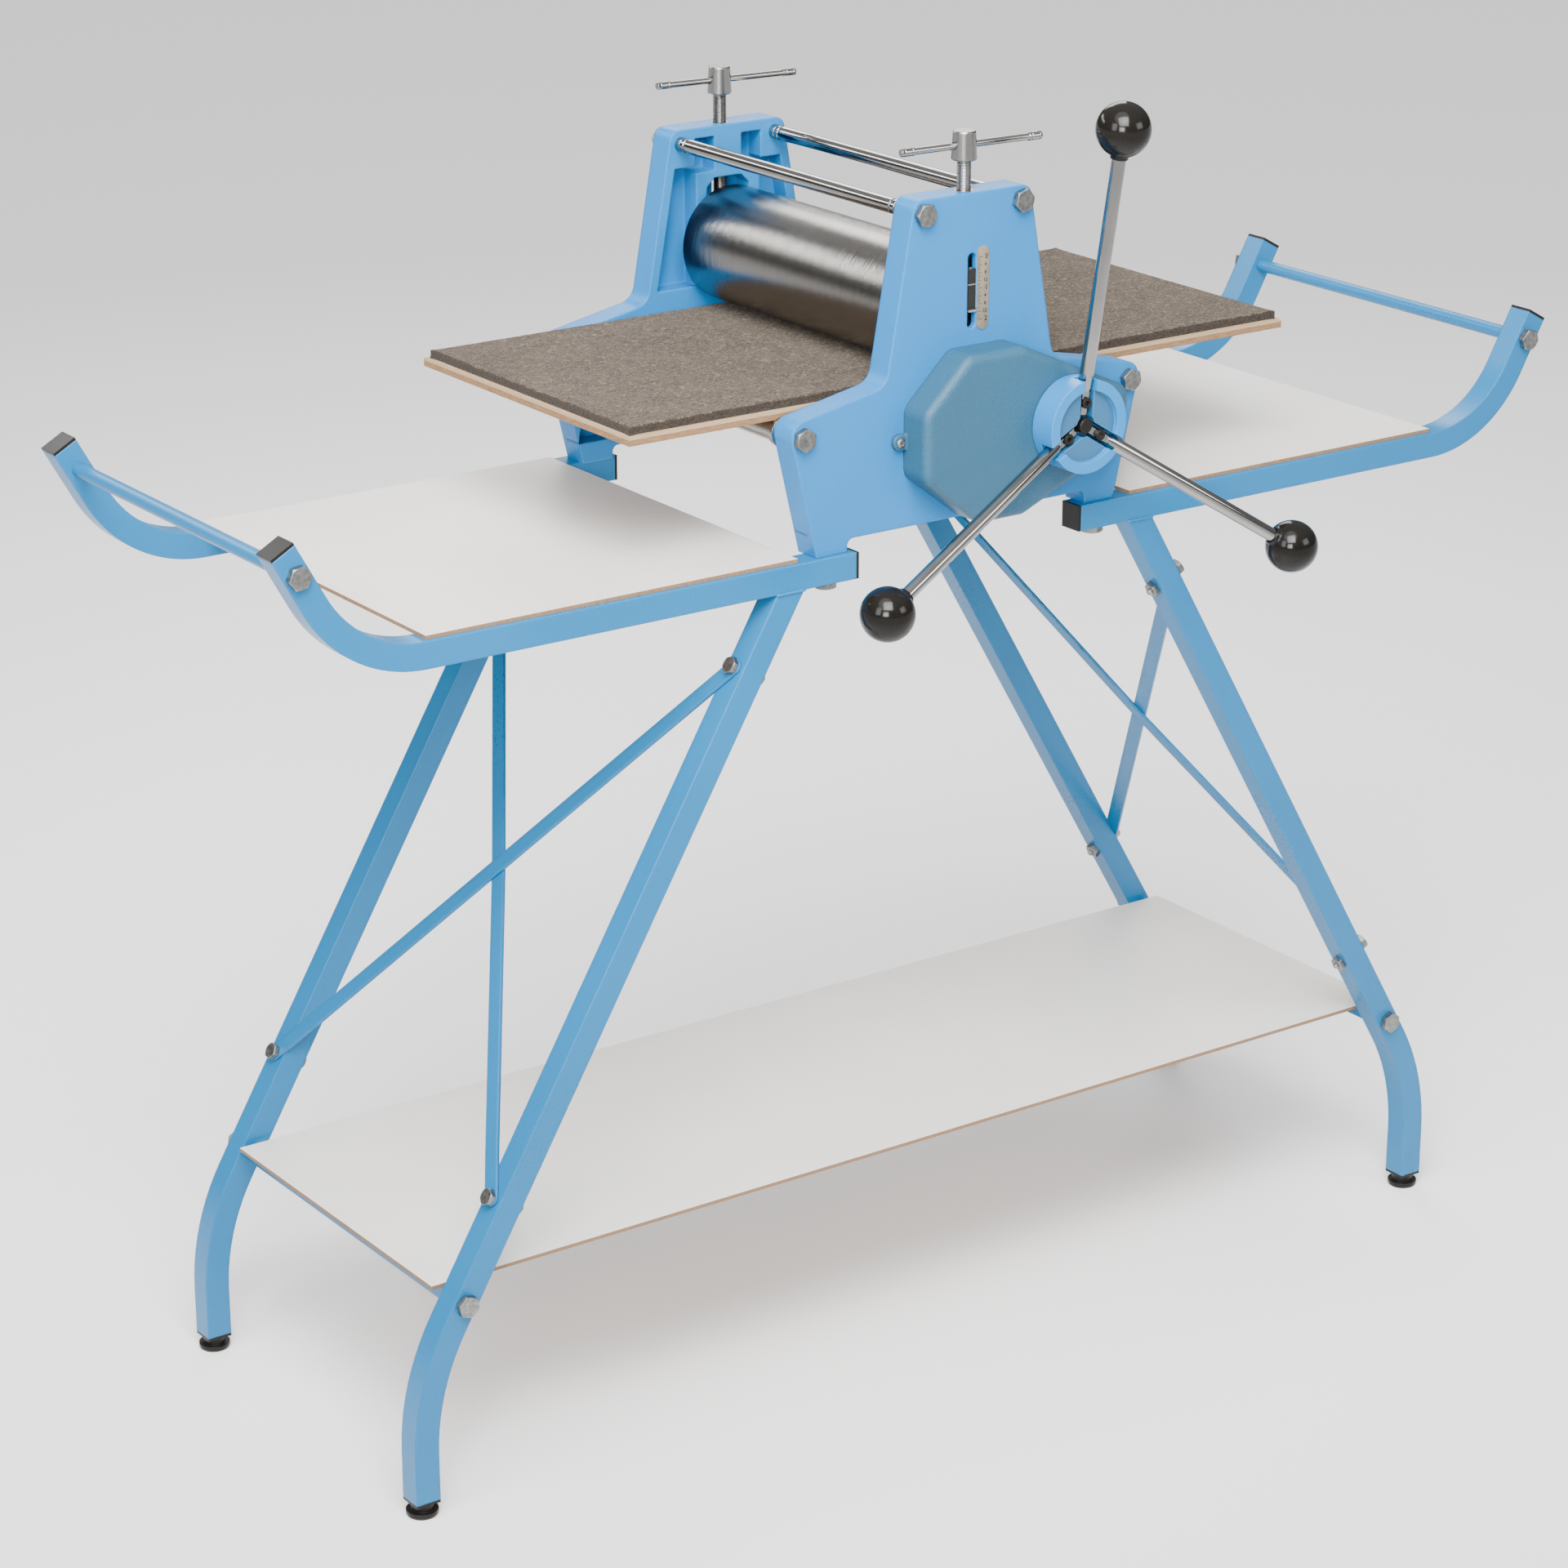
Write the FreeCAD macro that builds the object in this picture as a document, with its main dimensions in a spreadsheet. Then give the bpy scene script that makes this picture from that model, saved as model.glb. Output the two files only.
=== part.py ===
"""Etching press on its tube stand: a parametric FreeCAD document.

Frame: millimetres, +Z up, the floor at z = 0. X runs along the travel of the bed, Y along
the rollers, and the origin is under the middle of the press. The crank is on the -Y side.
Every size below is a cell of the sheet, and each sub-part is bound to those cells.
"""
import FreeCAD, Part
import math
import os
import re

import Sketcher
from FreeCAD import Vector

SIZES = [
    # stand
    ("tube", 22.2), ("tube_wall", 1.5), ("stand_y", 178.0), ("rail_top", 742.0),
    ("rail_inner_x", 116.0), ("rail_end_x", 635.2), ("rail_end_z", 89.2),
    ("rail_bend", 108.0), ("rail_rise", 61.0),
    ("leg_top_x", 180.5), ("foot_x", 539.0), ("leg_end_z", 14.0), ("knee_z", 113.0),
    ("knee_bend", 207.0), ("weld_overrun", 40.0),
    ("cap_plate", 2.4), ("cap_insert", 12.0), ("cap_gap", 0.1),
    ("glide_radius", 13.5), ("glide_disc", 5.0), ("glide_hub", 9.5), ("glide_stem", 4.0),
    ("glide_stem_top", 26.0), ("stem_gap", 0.05),
    ("handle_radius", 6.0), ("handle_z", 69.8),
    ("shelf_length", 1028.0), ("shelf_width", 322.0), ("shelf_thick", 3.2),
    ("shelf_beam", 12.0), ("shelf_beam_z", 180.8), ("shelf_beam_x", 499.0),
    ("table_start_x", 171.0), ("table_end_x", 515.0), ("table_width", 370.0),
    ("table_thick", 3.2),
    ("brace_width", 14.0), ("brace_thick", 3.0), ("brace_high_z", -85.0),
    ("brace_low_z", 255.0), ("brace_pass", 12.0), ("brace_seat", 42.0),
    ("brace_gap", 0.1),
    # fasteners
    ("bolt_flats", 17.0), ("bolt_head", 6.4), ("bolt_radius", 5.0), ("bolt_gap", 0.2),
    ("stand_bolt_radius", 4.0), ("stand_bolt_reach", 24.0),
    ("brace_flats", 13.0), ("brace_head", 5.3), ("brace_bolt_radius", 3.0),
    ("brace_nut", 5.0), ("brace_tail", 3.0),
    ("foot_bolt_x", 138.0), ("foot_bolt_y", 176.0),
    # side frames
    ("frame_inner_y", 160.0), ("frame_depth", 25.0), ("frame_top", 278.0),
    ("frame_skin", 6.0), ("frame_rim", 9.0),
    ("tower_top_x", 58.2), ("tower_base_x", 84.6), ("tower_base_z", 131.2),
    ("shoulder_x", 179.8), ("shoulder_z", 112.6), ("foot_outer_x", 152.8),
    ("foot_inner_x", 122.5), ("arch_z", 11.3), ("foot_floor", 18.0),
    ("top_round", 10.0), ("base_round", 16.0), ("shoulder_round", 13.0), ("arch_round", 6.0),
    ("guide_half", 22.05), ("guide_top", 233.0), ("guide_round", 8.0), ("rib", 11.0),
    ("slot_half", 4.25), ("slot_low_z", 167.0), ("slot_high_z", 229.0),
    ("post_half", 14.0),
    # tie rods and support rollers
    ("rod_radius", 6.3), ("upper_rod_x", 49.0), ("upper_rod_z", 266.0),
    ("lower_rod_x", 166.5), ("rod_boss", 10.5), ("rod_bolt_reach", 9.0), ("rod_bolt_deep", 10.0),
    ("rod_neck_radius", 5.7), ("rod_neck_at", 12.0), ("rod_neck_length", 2.0),
    ("support_radius", 10.0), ("collar_radius", 12.5), ("collar_length", 4.0),
    # rollers, bed and bearings
    ("bed_length", 672.0), ("bed_width", 311.0), ("bed_thick", 7.0), ("bed_top", 118.0),
    ("bed_shift", 25.0), ("felt_length", 663.0), ("felt_width", 299.0),
    ("felt_thick", 7.5), ("felt_round", 6.0),
    ("roll_gap", 0.3), ("upper_roll", 50.0), ("lower_roll", 28.0), ("roll_half", 157.0),
    ("roll_chamfer", 1.2),
    ("journal", 11.0), ("running_gap", 0.05), ("bush_wall", 4.0), ("journal_end", 177.0),
    ("block_height", 50.0), ("block_inner_y", 161.0), ("block_end_gap", 0.5),
    ("pointer_low", 5.0), ("pointer_high", 35.0), ("pointer_half", 3.6),
    ("pointer_tip", 4.8), ("pointer_lip", 2.8), ("pointer_proud", 1.5),
    # pressure screws
    ("screw_radius", 6.0), ("screw_head_z", 302.5), ("head_low", 10.7), ("head_high", 9.3),
    ("head_height", 23.5), ("screw_nut_radius", 8.0), ("screw_nut_length", 30.0),
    ("seat_gap", 0.1),
    ("bar_radius", 2.9), ("bar_length", 137.0), ("bar_shift", 7.0), ("bar_gap", 0.08),
    ("bar_sleeve", 3.5), ("bar_sleeve_length", 13.0),
    ("front_bar_turn", -2.5), ("back_bar_turn", -4.7),
    # gears, cover and crank
    ("gear_module", 2.0), ("gear_teeth", 54.0), ("pinion_teeth", 25.0), ("gear_width", 14.0),
    ("gear_start", 5.0), ("gear_play", 0.25), ("crank_rise", 2.3),
    ("crank_shaft", 9.0), ("shaft_inner_y", 157.0),
    ("cover_depth", 31.0), ("cover_wall", 3.5), ("cover_round", 7.0), ("cover_corner", 14.0),
    ("cover_left", -67.0), ("cover_right", 143.0), ("cover_high", 153.5),
    ("cover_low", 11.6), ("cover_left_low", 55.0), ("cover_left_high", 111.0),
    ("cover_top_left", -23.0), ("cover_top_right", 33.0), ("cover_low_left", -10.0),
    ("cover_low_right", 35.0), ("cover_right_low", 58.0), ("cover_right_high", 104.0),
    ("ear_radius", 6.5), ("ear_thick", 4.5), ("ear_reach", 6.0), ("ear_z", 84.0),
    ("cover_screw", 2.0), ("cover_screw_head", 4.0), ("cover_screw_high", 2.6),
    ("cover_screw_reach", 12.0),
    ("hub_radius", 39.0), ("hub_gap", 0.8), ("hub_depth", 25.0), ("hub_rim", 9.0),
    ("hub_recess", 4.5), ("hub_groove", 13.0), ("hub_groove_depth", 16.3), ("hub_web", 3.0),
    ("arm_radius", 5.9), ("arm_reach", 246.0), ("arm_start", 9.0), ("arm_splay", 33.5),
    ("arm_flat_reach", 29.0), ("arm_flat", 3.2), ("arm_turn", 2.4), ("arm_count", 3.0),
    ("knob_radius", 22.5), ("knob_depth", 24.0), ("knob_neck", 8.5), ("knob_gap", 0.05),
    ("arm_screw_at", 19.0), ("arm_screw", 2.9), ("arm_screw_head", 4.6),
    ("arm_screw_high", 4.2), ("arm_screw_reach", 14.0),
    ("hub_bolt", 3.9), ("hub_bolt_head", 6.3), ("hub_bolt_high", 13.0),
    ("hub_bolt_reach", 20.0),
    # scale
    ("scale_x", 11.0), ("scale_half", 5.9), ("scale_low_z", 165.0), ("scale_high_z", 234.0),
    ("scale_thick", 0.8),
]
NAMES = {name for name, value in SIZES}
# Heights of the press and of the rails' ends, which the sheet gives above the rails' top.
RAISED = {
    "arch_z", "bed_top", "brace_high_z", "cover_high", "cover_left_high", "cover_left_low",
    "cover_low", "cover_right_high", "cover_right_low", "ear_z", "frame_top", "guide_top",
    "handle_z", "rail_end_z", "scale_high_z", "scale_low_z", "screw_head_z", "shoulder_z",
    "slot_high_z", "slot_low_z", "tower_base_z", "upper_rod_z",
}
FRONT, BACK = "front", "back"
DOC = FreeCAD.newDocument("EtchingPress")
SHEET = DOC.addObject("Spreadsheet::Sheet", "Sizes")
for row, (alias, value) in enumerate(SIZES, 1):
    SHEET.set("A%d" % row, alias)
    SHEET.set("B%d" % row, str(value))
    SHEET.setAlias("B%d" % row, alias)
PROBE = DOC.addObject("App::FeaturePython", "Probe")
DOC.recompute()
PARTS = []


def size(name):
    """The number in one cell of the sheet."""
    return float(SHEET.get(name))


def cell(found):
    """One alias as FreeCAD reads it from the sheet, raised to the rails if it stands there."""
    name = found.group(0)
    if name in RAISED:
        return "(Sizes.rail_top + Sizes.%s)" % name
    return "Sizes." + name if name in NAMES else name


def bound(text):
    """An expression of aliases, as FreeCAD reads it from the sheet."""
    return re.sub(r"[a-z][a-z_]*", cell, str(text))


def bind(obj, **expressions):
    """Bind properties, named with a double underscore for a dot, to the sheet."""
    for prop, text in expressions.items():
        obj.setExpression(prop.replace("__", "."), bound(text))
    return obj


def place(obj, where, turn=None):
    """Bind an object's place; turn is an axis and an angle expression."""
    for letter, text in zip("xyz", where):
        obj.setExpression("Placement.Base." + letter, bound(text))
    if turn:
        axis, angle = turn
        obj.Placement.Rotation = FreeCAD.Rotation(Vector(*axis), 1)
        obj.setExpression("Placement.Rotation.Angle", bound(angle))
    return obj


def box(low, span):
    """A box from its low corner and its three spans."""
    obj = DOC.addObject("Part::Box", "Box")
    bind(obj, Length=span[0], Width=span[1], Height=span[2])
    return place(obj, low)


AXIS_TURN = {"X": ((0, 1, 0), "90"), "Y": ((1, 0, 0), "-90"), "Z": None}


def rod(axis, radius, length, start):
    """A cylinder from its start point along +X, +Y or +Z."""
    obj = DOC.addObject("Part::Cylinder", "Rod")
    bind(obj, Radius=radius, Height=length)
    return place(obj, start, AXIS_TURN[axis])


def cone(axis, radius_start, radius_end, length, start):
    """A cone from its start point along +X, +Y or +Z."""
    obj = DOC.addObject("Part::Cone", "Cone")
    bind(obj, Radius1=radius_start, Radius2=radius_end, Height=length)
    return place(obj, start, AXIS_TURN[axis])


def hexagon(axis, flats, height, start):
    """A hexagonal bolt head or nut from its start face along an axis."""
    obj = DOC.addObject("Part::Prism", "Hexagon")
    obj.Polygon = 6
    bind(obj, Circumradius="(%s) / sqrt(3)" % flats, Height=height)
    return place(obj, start, AXIS_TURN[axis])


def fuse(*shapes):
    obj = DOC.addObject("Part::MultiFuse", "Fuse")
    obj.Shapes = list(shapes)
    obj.Refine = True
    return obj


def cut(base, *tools):
    """The base less each tool in turn."""
    for tool in tools:
        obj = DOC.addObject("Part::Cut", "Cut")
        obj.Base, obj.Tool = base, tool
        obj.Refine = True
        base = obj
    return base


def common(base, tool):
    obj = DOC.addObject("Part::Common", "Common")
    obj.Base, obj.Tool = base, tool
    return obj


def group(*shapes):
    """Separate solids that share one node."""
    obj = DOC.addObject("Part::Compound", "Group")
    obj.Links = list(shapes)
    return obj


def mirrored(source, normal):
    """A mirror image through the origin."""
    obj = DOC.addObject("Part::Mirroring", "Mirror")
    obj.Source = source
    obj.Base, obj.Normal = Vector(0, 0, 0), Vector(*normal)
    return obj


def both_sides(source):
    """A piece and its mirror image across the length of the press."""
    return group(source, mirrored(source, (0, 1, 0)))


def four_corners(source):
    """A piece of one corner, repeated at all four."""
    pair = [source, mirrored(source, (0, 1, 0))]
    return group(*(pair + [mirrored(piece, (1, 0, 0)) for piece in pair]))


def part(label, obj):
    """Name a finished sub-part; its label is the name of its file."""
    obj.Label = label
    PARTS.append(obj)
    return obj


# ---- sketches -------------------------------------------------------------------------

def body(name):
    return DOC.addObject("PartDesign::Body", name)


def sketch(owner, role, offset="0"):
    """A sketch on one of the body's own origin planes, moved along its normal."""
    obj = owner.newObject("Sketcher::SketchObject", "Sketch")
    origin_plane = [f for f in owner.Origin.OriginFeatures if f.Role == role][0]
    obj.AttachmentSupport = [(origin_plane, "")]
    obj.MapMode = "FlatFace"
    obj.setExpression("AttachmentOffset.Base.z", bound(offset))
    return obj


def reading(text):
    """The present value of an expression of aliases."""
    value = PROBE.evalExpression(bound(text))
    return float(getattr(value, "Value", value))


def fix_point(drawing, geometry, end, x_text, y_text):
    """Hold one end of a line at two expressions."""
    for kind, text in (("DistanceX", x_text), ("DistanceY", y_text)):
        index = drawing.addConstraint(
            Sketcher.Constraint(kind, -1, 1, geometry, end, reading(text)))
        drawing.setExpression("Constraints[%d]" % index, bound(text))


def polygon(drawing, points):
    """A closed outline whose corners are pairs of expressions."""
    spots = [Vector(reading(x), reading(y), 0) for x, y in points]
    first = drawing.GeometryCount
    total = len(spots)
    for k in range(total):
        drawing.addGeometry(Part.LineSegment(spots[k], spots[(k + 1) % total]))
    for k in range(total):
        drawing.addConstraint(Sketcher.Constraint(
            "Coincident", first + k, 2, first + (k + 1) % total, 1))
        fix_point(drawing, first + k, 1, *points[k])


def pad(owner, drawing, length, symmetric=False):
    obj = owner.newObject("PartDesign::Pad", "Pad")
    obj.Profile = drawing
    bind(obj, Length=length)
    if symmetric:
        obj.SideType = "Symmetric"
    drawing.Visibility = False
    return obj


def pocket(owner, drawing, length, reverse=False):
    obj = owner.newObject("PartDesign::Pocket", "Pocket")
    obj.Profile = drawing
    obj.Reversed = reverse
    bind(obj, Length=length)
    return obj


def edges_at(shape, points, direction):
    """Names of the straight edges that run along a direction through given points."""
    found = []
    for number, edge in enumerate(shape.Edges, 1):
        if len(edge.Vertexes) != 2:
            continue
        start, end = (vertex.Point for vertex in edge.Vertexes)
        along = (end - start).normalize()
        if abs(abs(along.dot(direction)) - 1) > 1e-4:
            continue
        for point in points:
            if (point - start).cross(direction).Length < 0.02:
                found.append("Edge%d" % number)
                break
    return found


def fillet(owner, base, names, radius):
    obj = owner.newObject("PartDesign::Fillet", "Fillet")
    obj.Base = (base, names)
    bind(obj, Radius=radius)
    DOC.recompute()
    return obj


def bent_tube(name, trace, section_role, section_offset, section_centre):
    """A square tube along a line, an arc and a line drawn by trace in the XZ plane."""
    owner = body(name)
    spine = sketch(owner, "XZ_Plane")
    trace(spine)
    DOC.recompute()
    for kind, half in (("AdditivePipe", "tube / 2"),
                       ("SubtractivePipe", "(tube / 2 - tube_wall)")):
        drawing = sketch(owner, section_role, section_offset)
        x_text, y_text = section_centre
        polygon(drawing, [
            (x_text + " - " + half, y_text + " - " + half),
            (x_text + " + " + half, y_text + " - " + half),
            (x_text + " + " + half, y_text + " + " + half),
            (x_text + " - " + half, y_text + " + " + half)])
        pipe = owner.newObject("PartDesign::" + kind, kind)
        pipe.Profile = drawing
        pipe.Spine = (spine, ["Edge1", "Edge2", "Edge3"])
    return owner


def draw_bend(drawing, start, corner, end, radius, tangent):
    """Line, arc and line in a sketch: held at both ends, at the radius and at one joint.

    start, corner and end are pairs of expressions and tangent is the length that the arc
    takes from each line."""
    first, middle, last = (Vector(reading(x), reading(y), 0)
                           for x, y in (start, corner, end))
    away = (first - middle).normalize()
    onward = (last - middle).normalize()
    reach, bend = reading(tangent), reading(radius)
    joint_one, joint_two = middle + away * reach, middle + onward * reach
    bisector = (away + onward).normalize()
    centre = middle + bisector * math.hypot(reach, bend)
    through = centre - bisector * bend
    drawing.addGeometry(Part.LineSegment(first, joint_one))
    drawing.addGeometry(Part.Arc(joint_one, through, joint_two))
    drawing.addGeometry(Part.LineSegment(joint_two, last))
    arc = drawing.Geometry[1]
    near_start = (arc.StartPoint - joint_one).Length < (arc.EndPoint - joint_one).Length
    begin, finish = (1, 2) if near_start else (2, 1)
    constraint = Sketcher.Constraint
    drawing.addConstraint(constraint("Tangent", 0, 2, 1, begin))
    drawing.addConstraint(constraint("Tangent", 1, finish, 2, 1))
    fix_point(drawing, 0, 1, *start)
    fix_point(drawing, 2, 2, *end)
    index = drawing.addConstraint(constraint("Radius", 1, bend))
    drawing.setExpression("Constraints[%d]" % index, bound(radius))


# ---- stand ----------------------------------------------------------------------------

RAIL_Z = "(rail_top - tube / 2)"
RAIL_BOTTOM = "(rail_top - tube)"
RAIL_CORNER_X = "(rail_end_x - (rail_end_z - rail_top + tube / 2) / tan(rail_rise * 1deg))"
LEG_LEAN = "atan((foot_x - leg_top_x) / (rail_top - tube - knee_z))"
LEG_RUN = "((foot_x - leg_top_x) / (rail_top - tube - knee_z))"
STAND_INNER = "(stand_y - tube / 2)"
STAND_OUTER = "(stand_y + tube / 2)"


def leg_x(height):
    """Where the middle of the right leg's straight stretch is at a height."""
    return "(leg_top_x + %s * (rail_top - tube - (%s)))" % (LEG_RUN, height)


def rail():
    """Front right rail: level beside the press, swept up to the handle at its end."""
    def trace(drawing):
        corner = (RAIL_CORNER_X, RAIL_Z)
        draw_bend(drawing, ("rail_inner_x", RAIL_Z), corner, ("rail_end_x", "rail_end_z"),
                  "rail_bend", "rail_bend * tan(rail_rise / 2 * 1deg)")
        drawing.addConstraint(Sketcher.Constraint("Horizontal", 0))
        tangent = RAIL_CORNER_X + " - rail_bend * tan(rail_rise / 2 * 1deg)"
        index = drawing.addConstraint(Sketcher.Constraint(
            "DistanceX", -1, 1, 0, 2, reading(tangent)))
        drawing.setExpression("Constraints[%d]" % index, bound(tangent))

    tube = bent_tube("Rail", trace, "YZ_Plane", "rail_inner_x", ("0", RAIL_Z))
    place(tube, ("0", "-stand_y", "0"))
    handle_x = RAIL_CORNER_X + " + (handle_z - %s) / tan(rail_rise * 1deg)" % RAIL_Z
    foot_hole = rod("Z", "bolt_radius + bolt_gap", "tube * 2",
                    ("foot_bolt_x", "-foot_bolt_y", "rail_top - tube * 1.5"))
    handle_hole = rod("Y", "stand_bolt_radius + bolt_gap", "tube * 2",
                      (handle_x, "-stand_y - tube", "handle_z"))
    return cut(tube, foot_hole, handle_hole), handle_x


def leg():
    """Front right leg: it leans out from the rail and turns upright at the knee."""
    def trace(drawing):
        top = (leg_x("rail_top"), "rail_top")
        draw_bend(drawing, ("foot_x", "leg_end_z"), ("foot_x", "knee_z"), top,
                  "knee_bend", "knee_bend * tan(%s / 2)" % LEG_LEAN)
        drawing.addConstraint(Sketcher.Constraint("Vertical", 0))
        tangent = "knee_z - knee_bend * tan(%s / 2)" % LEG_LEAN
        index = drawing.addConstraint(Sketcher.Constraint(
            "DistanceY", -1, 1, 0, 2, reading(tangent)))
        drawing.setExpression("Constraints[%d]" % index, bound(tangent))

    tube = bent_tube("Leg", trace, "XY_Plane", "leg_end_z", ("foot_x", "0"))
    place(tube, ("0", "-stand_y", "0"))
    above = box(("0", "-stand_y - tube", RAIL_BOTTOM), ("foot_x", "tube * 2", "tube * 3"))
    beam_hole = rod("Y", "stand_bolt_radius + bolt_gap", "tube * 2",
                    ("shelf_beam_x", "-stand_y - tube", "shelf_beam_z"))
    holes = [across_leg(z, "brace_bolt_radius + bolt_gap", "tube * 3", "-tube * 1.5")
             for z in ("brace_high_z", "brace_low_z")]
    return cut(tube, above, beam_hole, *holes)


def across_leg(height, radius, length, start, kind="Part::Cylinder"):
    """A pin square through the right leg's outer face, on the front leg's line.

    start is measured from the middle of the tube along the leg's outward normal."""
    obj = DOC.addObject(kind, "Pin")
    if kind == "Part::Prism":
        obj.Polygon = 6
        bind(obj, Circumradius="(%s) / sqrt(3)" % radius, Height=length)
    else:
        bind(obj, Radius=radius, Height=length)
    normal_x, normal_z = "cos(%s)" % LEG_LEAN, "sin(%s)" % LEG_LEAN
    place(obj, ("%s + (%s) * %s" % (leg_x(height), start, normal_x), "-stand_y",
                "(%s) + (%s) * %s" % (height, start, normal_z)),
          ((0, 1, 0), "90 - %s / 1deg" % LEG_LEAN))
    return obj


def tube_end_caps():
    """Black caps that close the inner and the upper ends of the four rails."""
    fit = "(tube - 2 * tube_wall - 2 * cap_gap)"
    inner = fuse(
        box(("rail_inner_x - cap_plate", "-stand_y - tube / 2", RAIL_BOTTOM),
            ("cap_plate", "tube", "tube")),
        box(("rail_inner_x", "-stand_y - %s / 2" % fit, "%s - %s / 2" % (RAIL_Z, fit)),
            ("cap_insert", fit, fit)))
    upper = DOC.addObject("Part::Box", "Cap")
    bind(upper, Length="tube", Width="tube", Height="cap_plate")
    insert = DOC.addObject("Part::Box", "CapInsert")
    bind(insert, Length=fit, Width=fit, Height="cap_insert")
    lean = "(90 - rail_rise)"
    sine, cosine = "cos(rail_rise * 1deg)", "sin(rail_rise * 1deg)"
    place(upper, ("rail_end_x - tube / 2 * %s" % cosine, "-stand_y - tube / 2",
                  "rail_end_z + tube / 2 * %s" % sine), ((0, 1, 0), lean))
    place(insert, ("rail_end_x - %s / 2 * %s - cap_insert * %s" % (fit, cosine, sine),
                   "-stand_y - %s / 2" % fit,
                   "rail_end_z + %s / 2 * %s - cap_insert * %s" % (fit, sine, cosine)),
          ((0, 1, 0), lean))
    return group(four_corners(inner), four_corners(fuse(upper, insert)))


def leg_plugs():
    fit = "(tube - 2 * tube_wall - 2 * cap_gap)"
    plug = fuse(
        box(("foot_x - tube / 2", "-stand_y - tube / 2", "leg_end_z - cap_plate"),
            ("tube", "tube", "cap_plate")),
        box(("foot_x - %s / 2" % fit, "-stand_y - %s / 2" % fit, "leg_end_z"),
            (fit, fit, "cap_insert")))
    bore = rod("Z", "glide_stem + stem_gap", "cap_insert * 3",
               ("foot_x", "-stand_y", "leg_end_z - cap_insert"))
    return four_corners(cut(plug, bore))


def levelling_feet():
    centre = ("foot_x", "-stand_y")
    return four_corners(fuse(
        cone("Z", "glide_radius - 1", "glide_radius", "glide_disc * 0.4", centre + ("0",)),
        rod("Z", "glide_radius", "glide_disc * 0.6", centre + ("glide_disc * 0.4",)),
        rod("Z", "glide_hub", "leg_end_z - cap_plate - seat_gap - glide_disc",
            centre + ("glide_disc",)),
        rod("Z", "glide_stem", "glide_stem_top", centre + ("0",))))


def handle_bar(handle_x):
    bar = rod("Y", "handle_radius", "2 * %s" % STAND_INNER,
              (handle_x, "-%s" % STAND_INNER, "handle_z"))
    bores = [rod("Y", "stand_bolt_radius + stem_gap", "stand_bolt_reach * 2",
                 (handle_x, side + " - stand_bolt_reach", "handle_z"))
             for side in ("-" + STAND_INNER, STAND_INNER)]
    return cut(bar, *bores)


def side_bolt(x_text, z_text):
    """Hexagon bolt through a front tube into a bar or beam behind it."""
    return fuse(
        hexagon("Y", "bolt_flats", "bolt_head",
                (x_text, "-%s - bolt_head" % STAND_OUTER, z_text)),
        rod("Y", "stand_bolt_radius", "tube + stand_bolt_reach - 4",
            (x_text, "-" + STAND_OUTER, z_text)))


def shelf_crossbar():
    beam = box(("shelf_beam_x - shelf_beam / 2", "-" + STAND_INNER,
                "shelf_beam_z - shelf_beam / 2"),
               ("shelf_beam", "2 * %s" % STAND_INNER, "shelf_beam"))
    hollow = box(("shelf_beam_x - shelf_beam / 2 + tube_wall",
                  "-%s + stand_bolt_reach" % STAND_INNER,
                  "shelf_beam_z - shelf_beam / 2 + tube_wall"),
                 ("shelf_beam - 2 * tube_wall",
                  "2 * (%s - stand_bolt_reach)" % STAND_INNER, "shelf_beam - 2 * tube_wall"))
    bores = [rod("Y", "stand_bolt_radius + stem_gap", "stand_bolt_reach * 2",
                 ("shelf_beam_x", side + " - stand_bolt_reach", "shelf_beam_z"))
             for side in ("-" + STAND_INNER, STAND_INNER)]
    return cut(beam, hollow, *bores)


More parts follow.
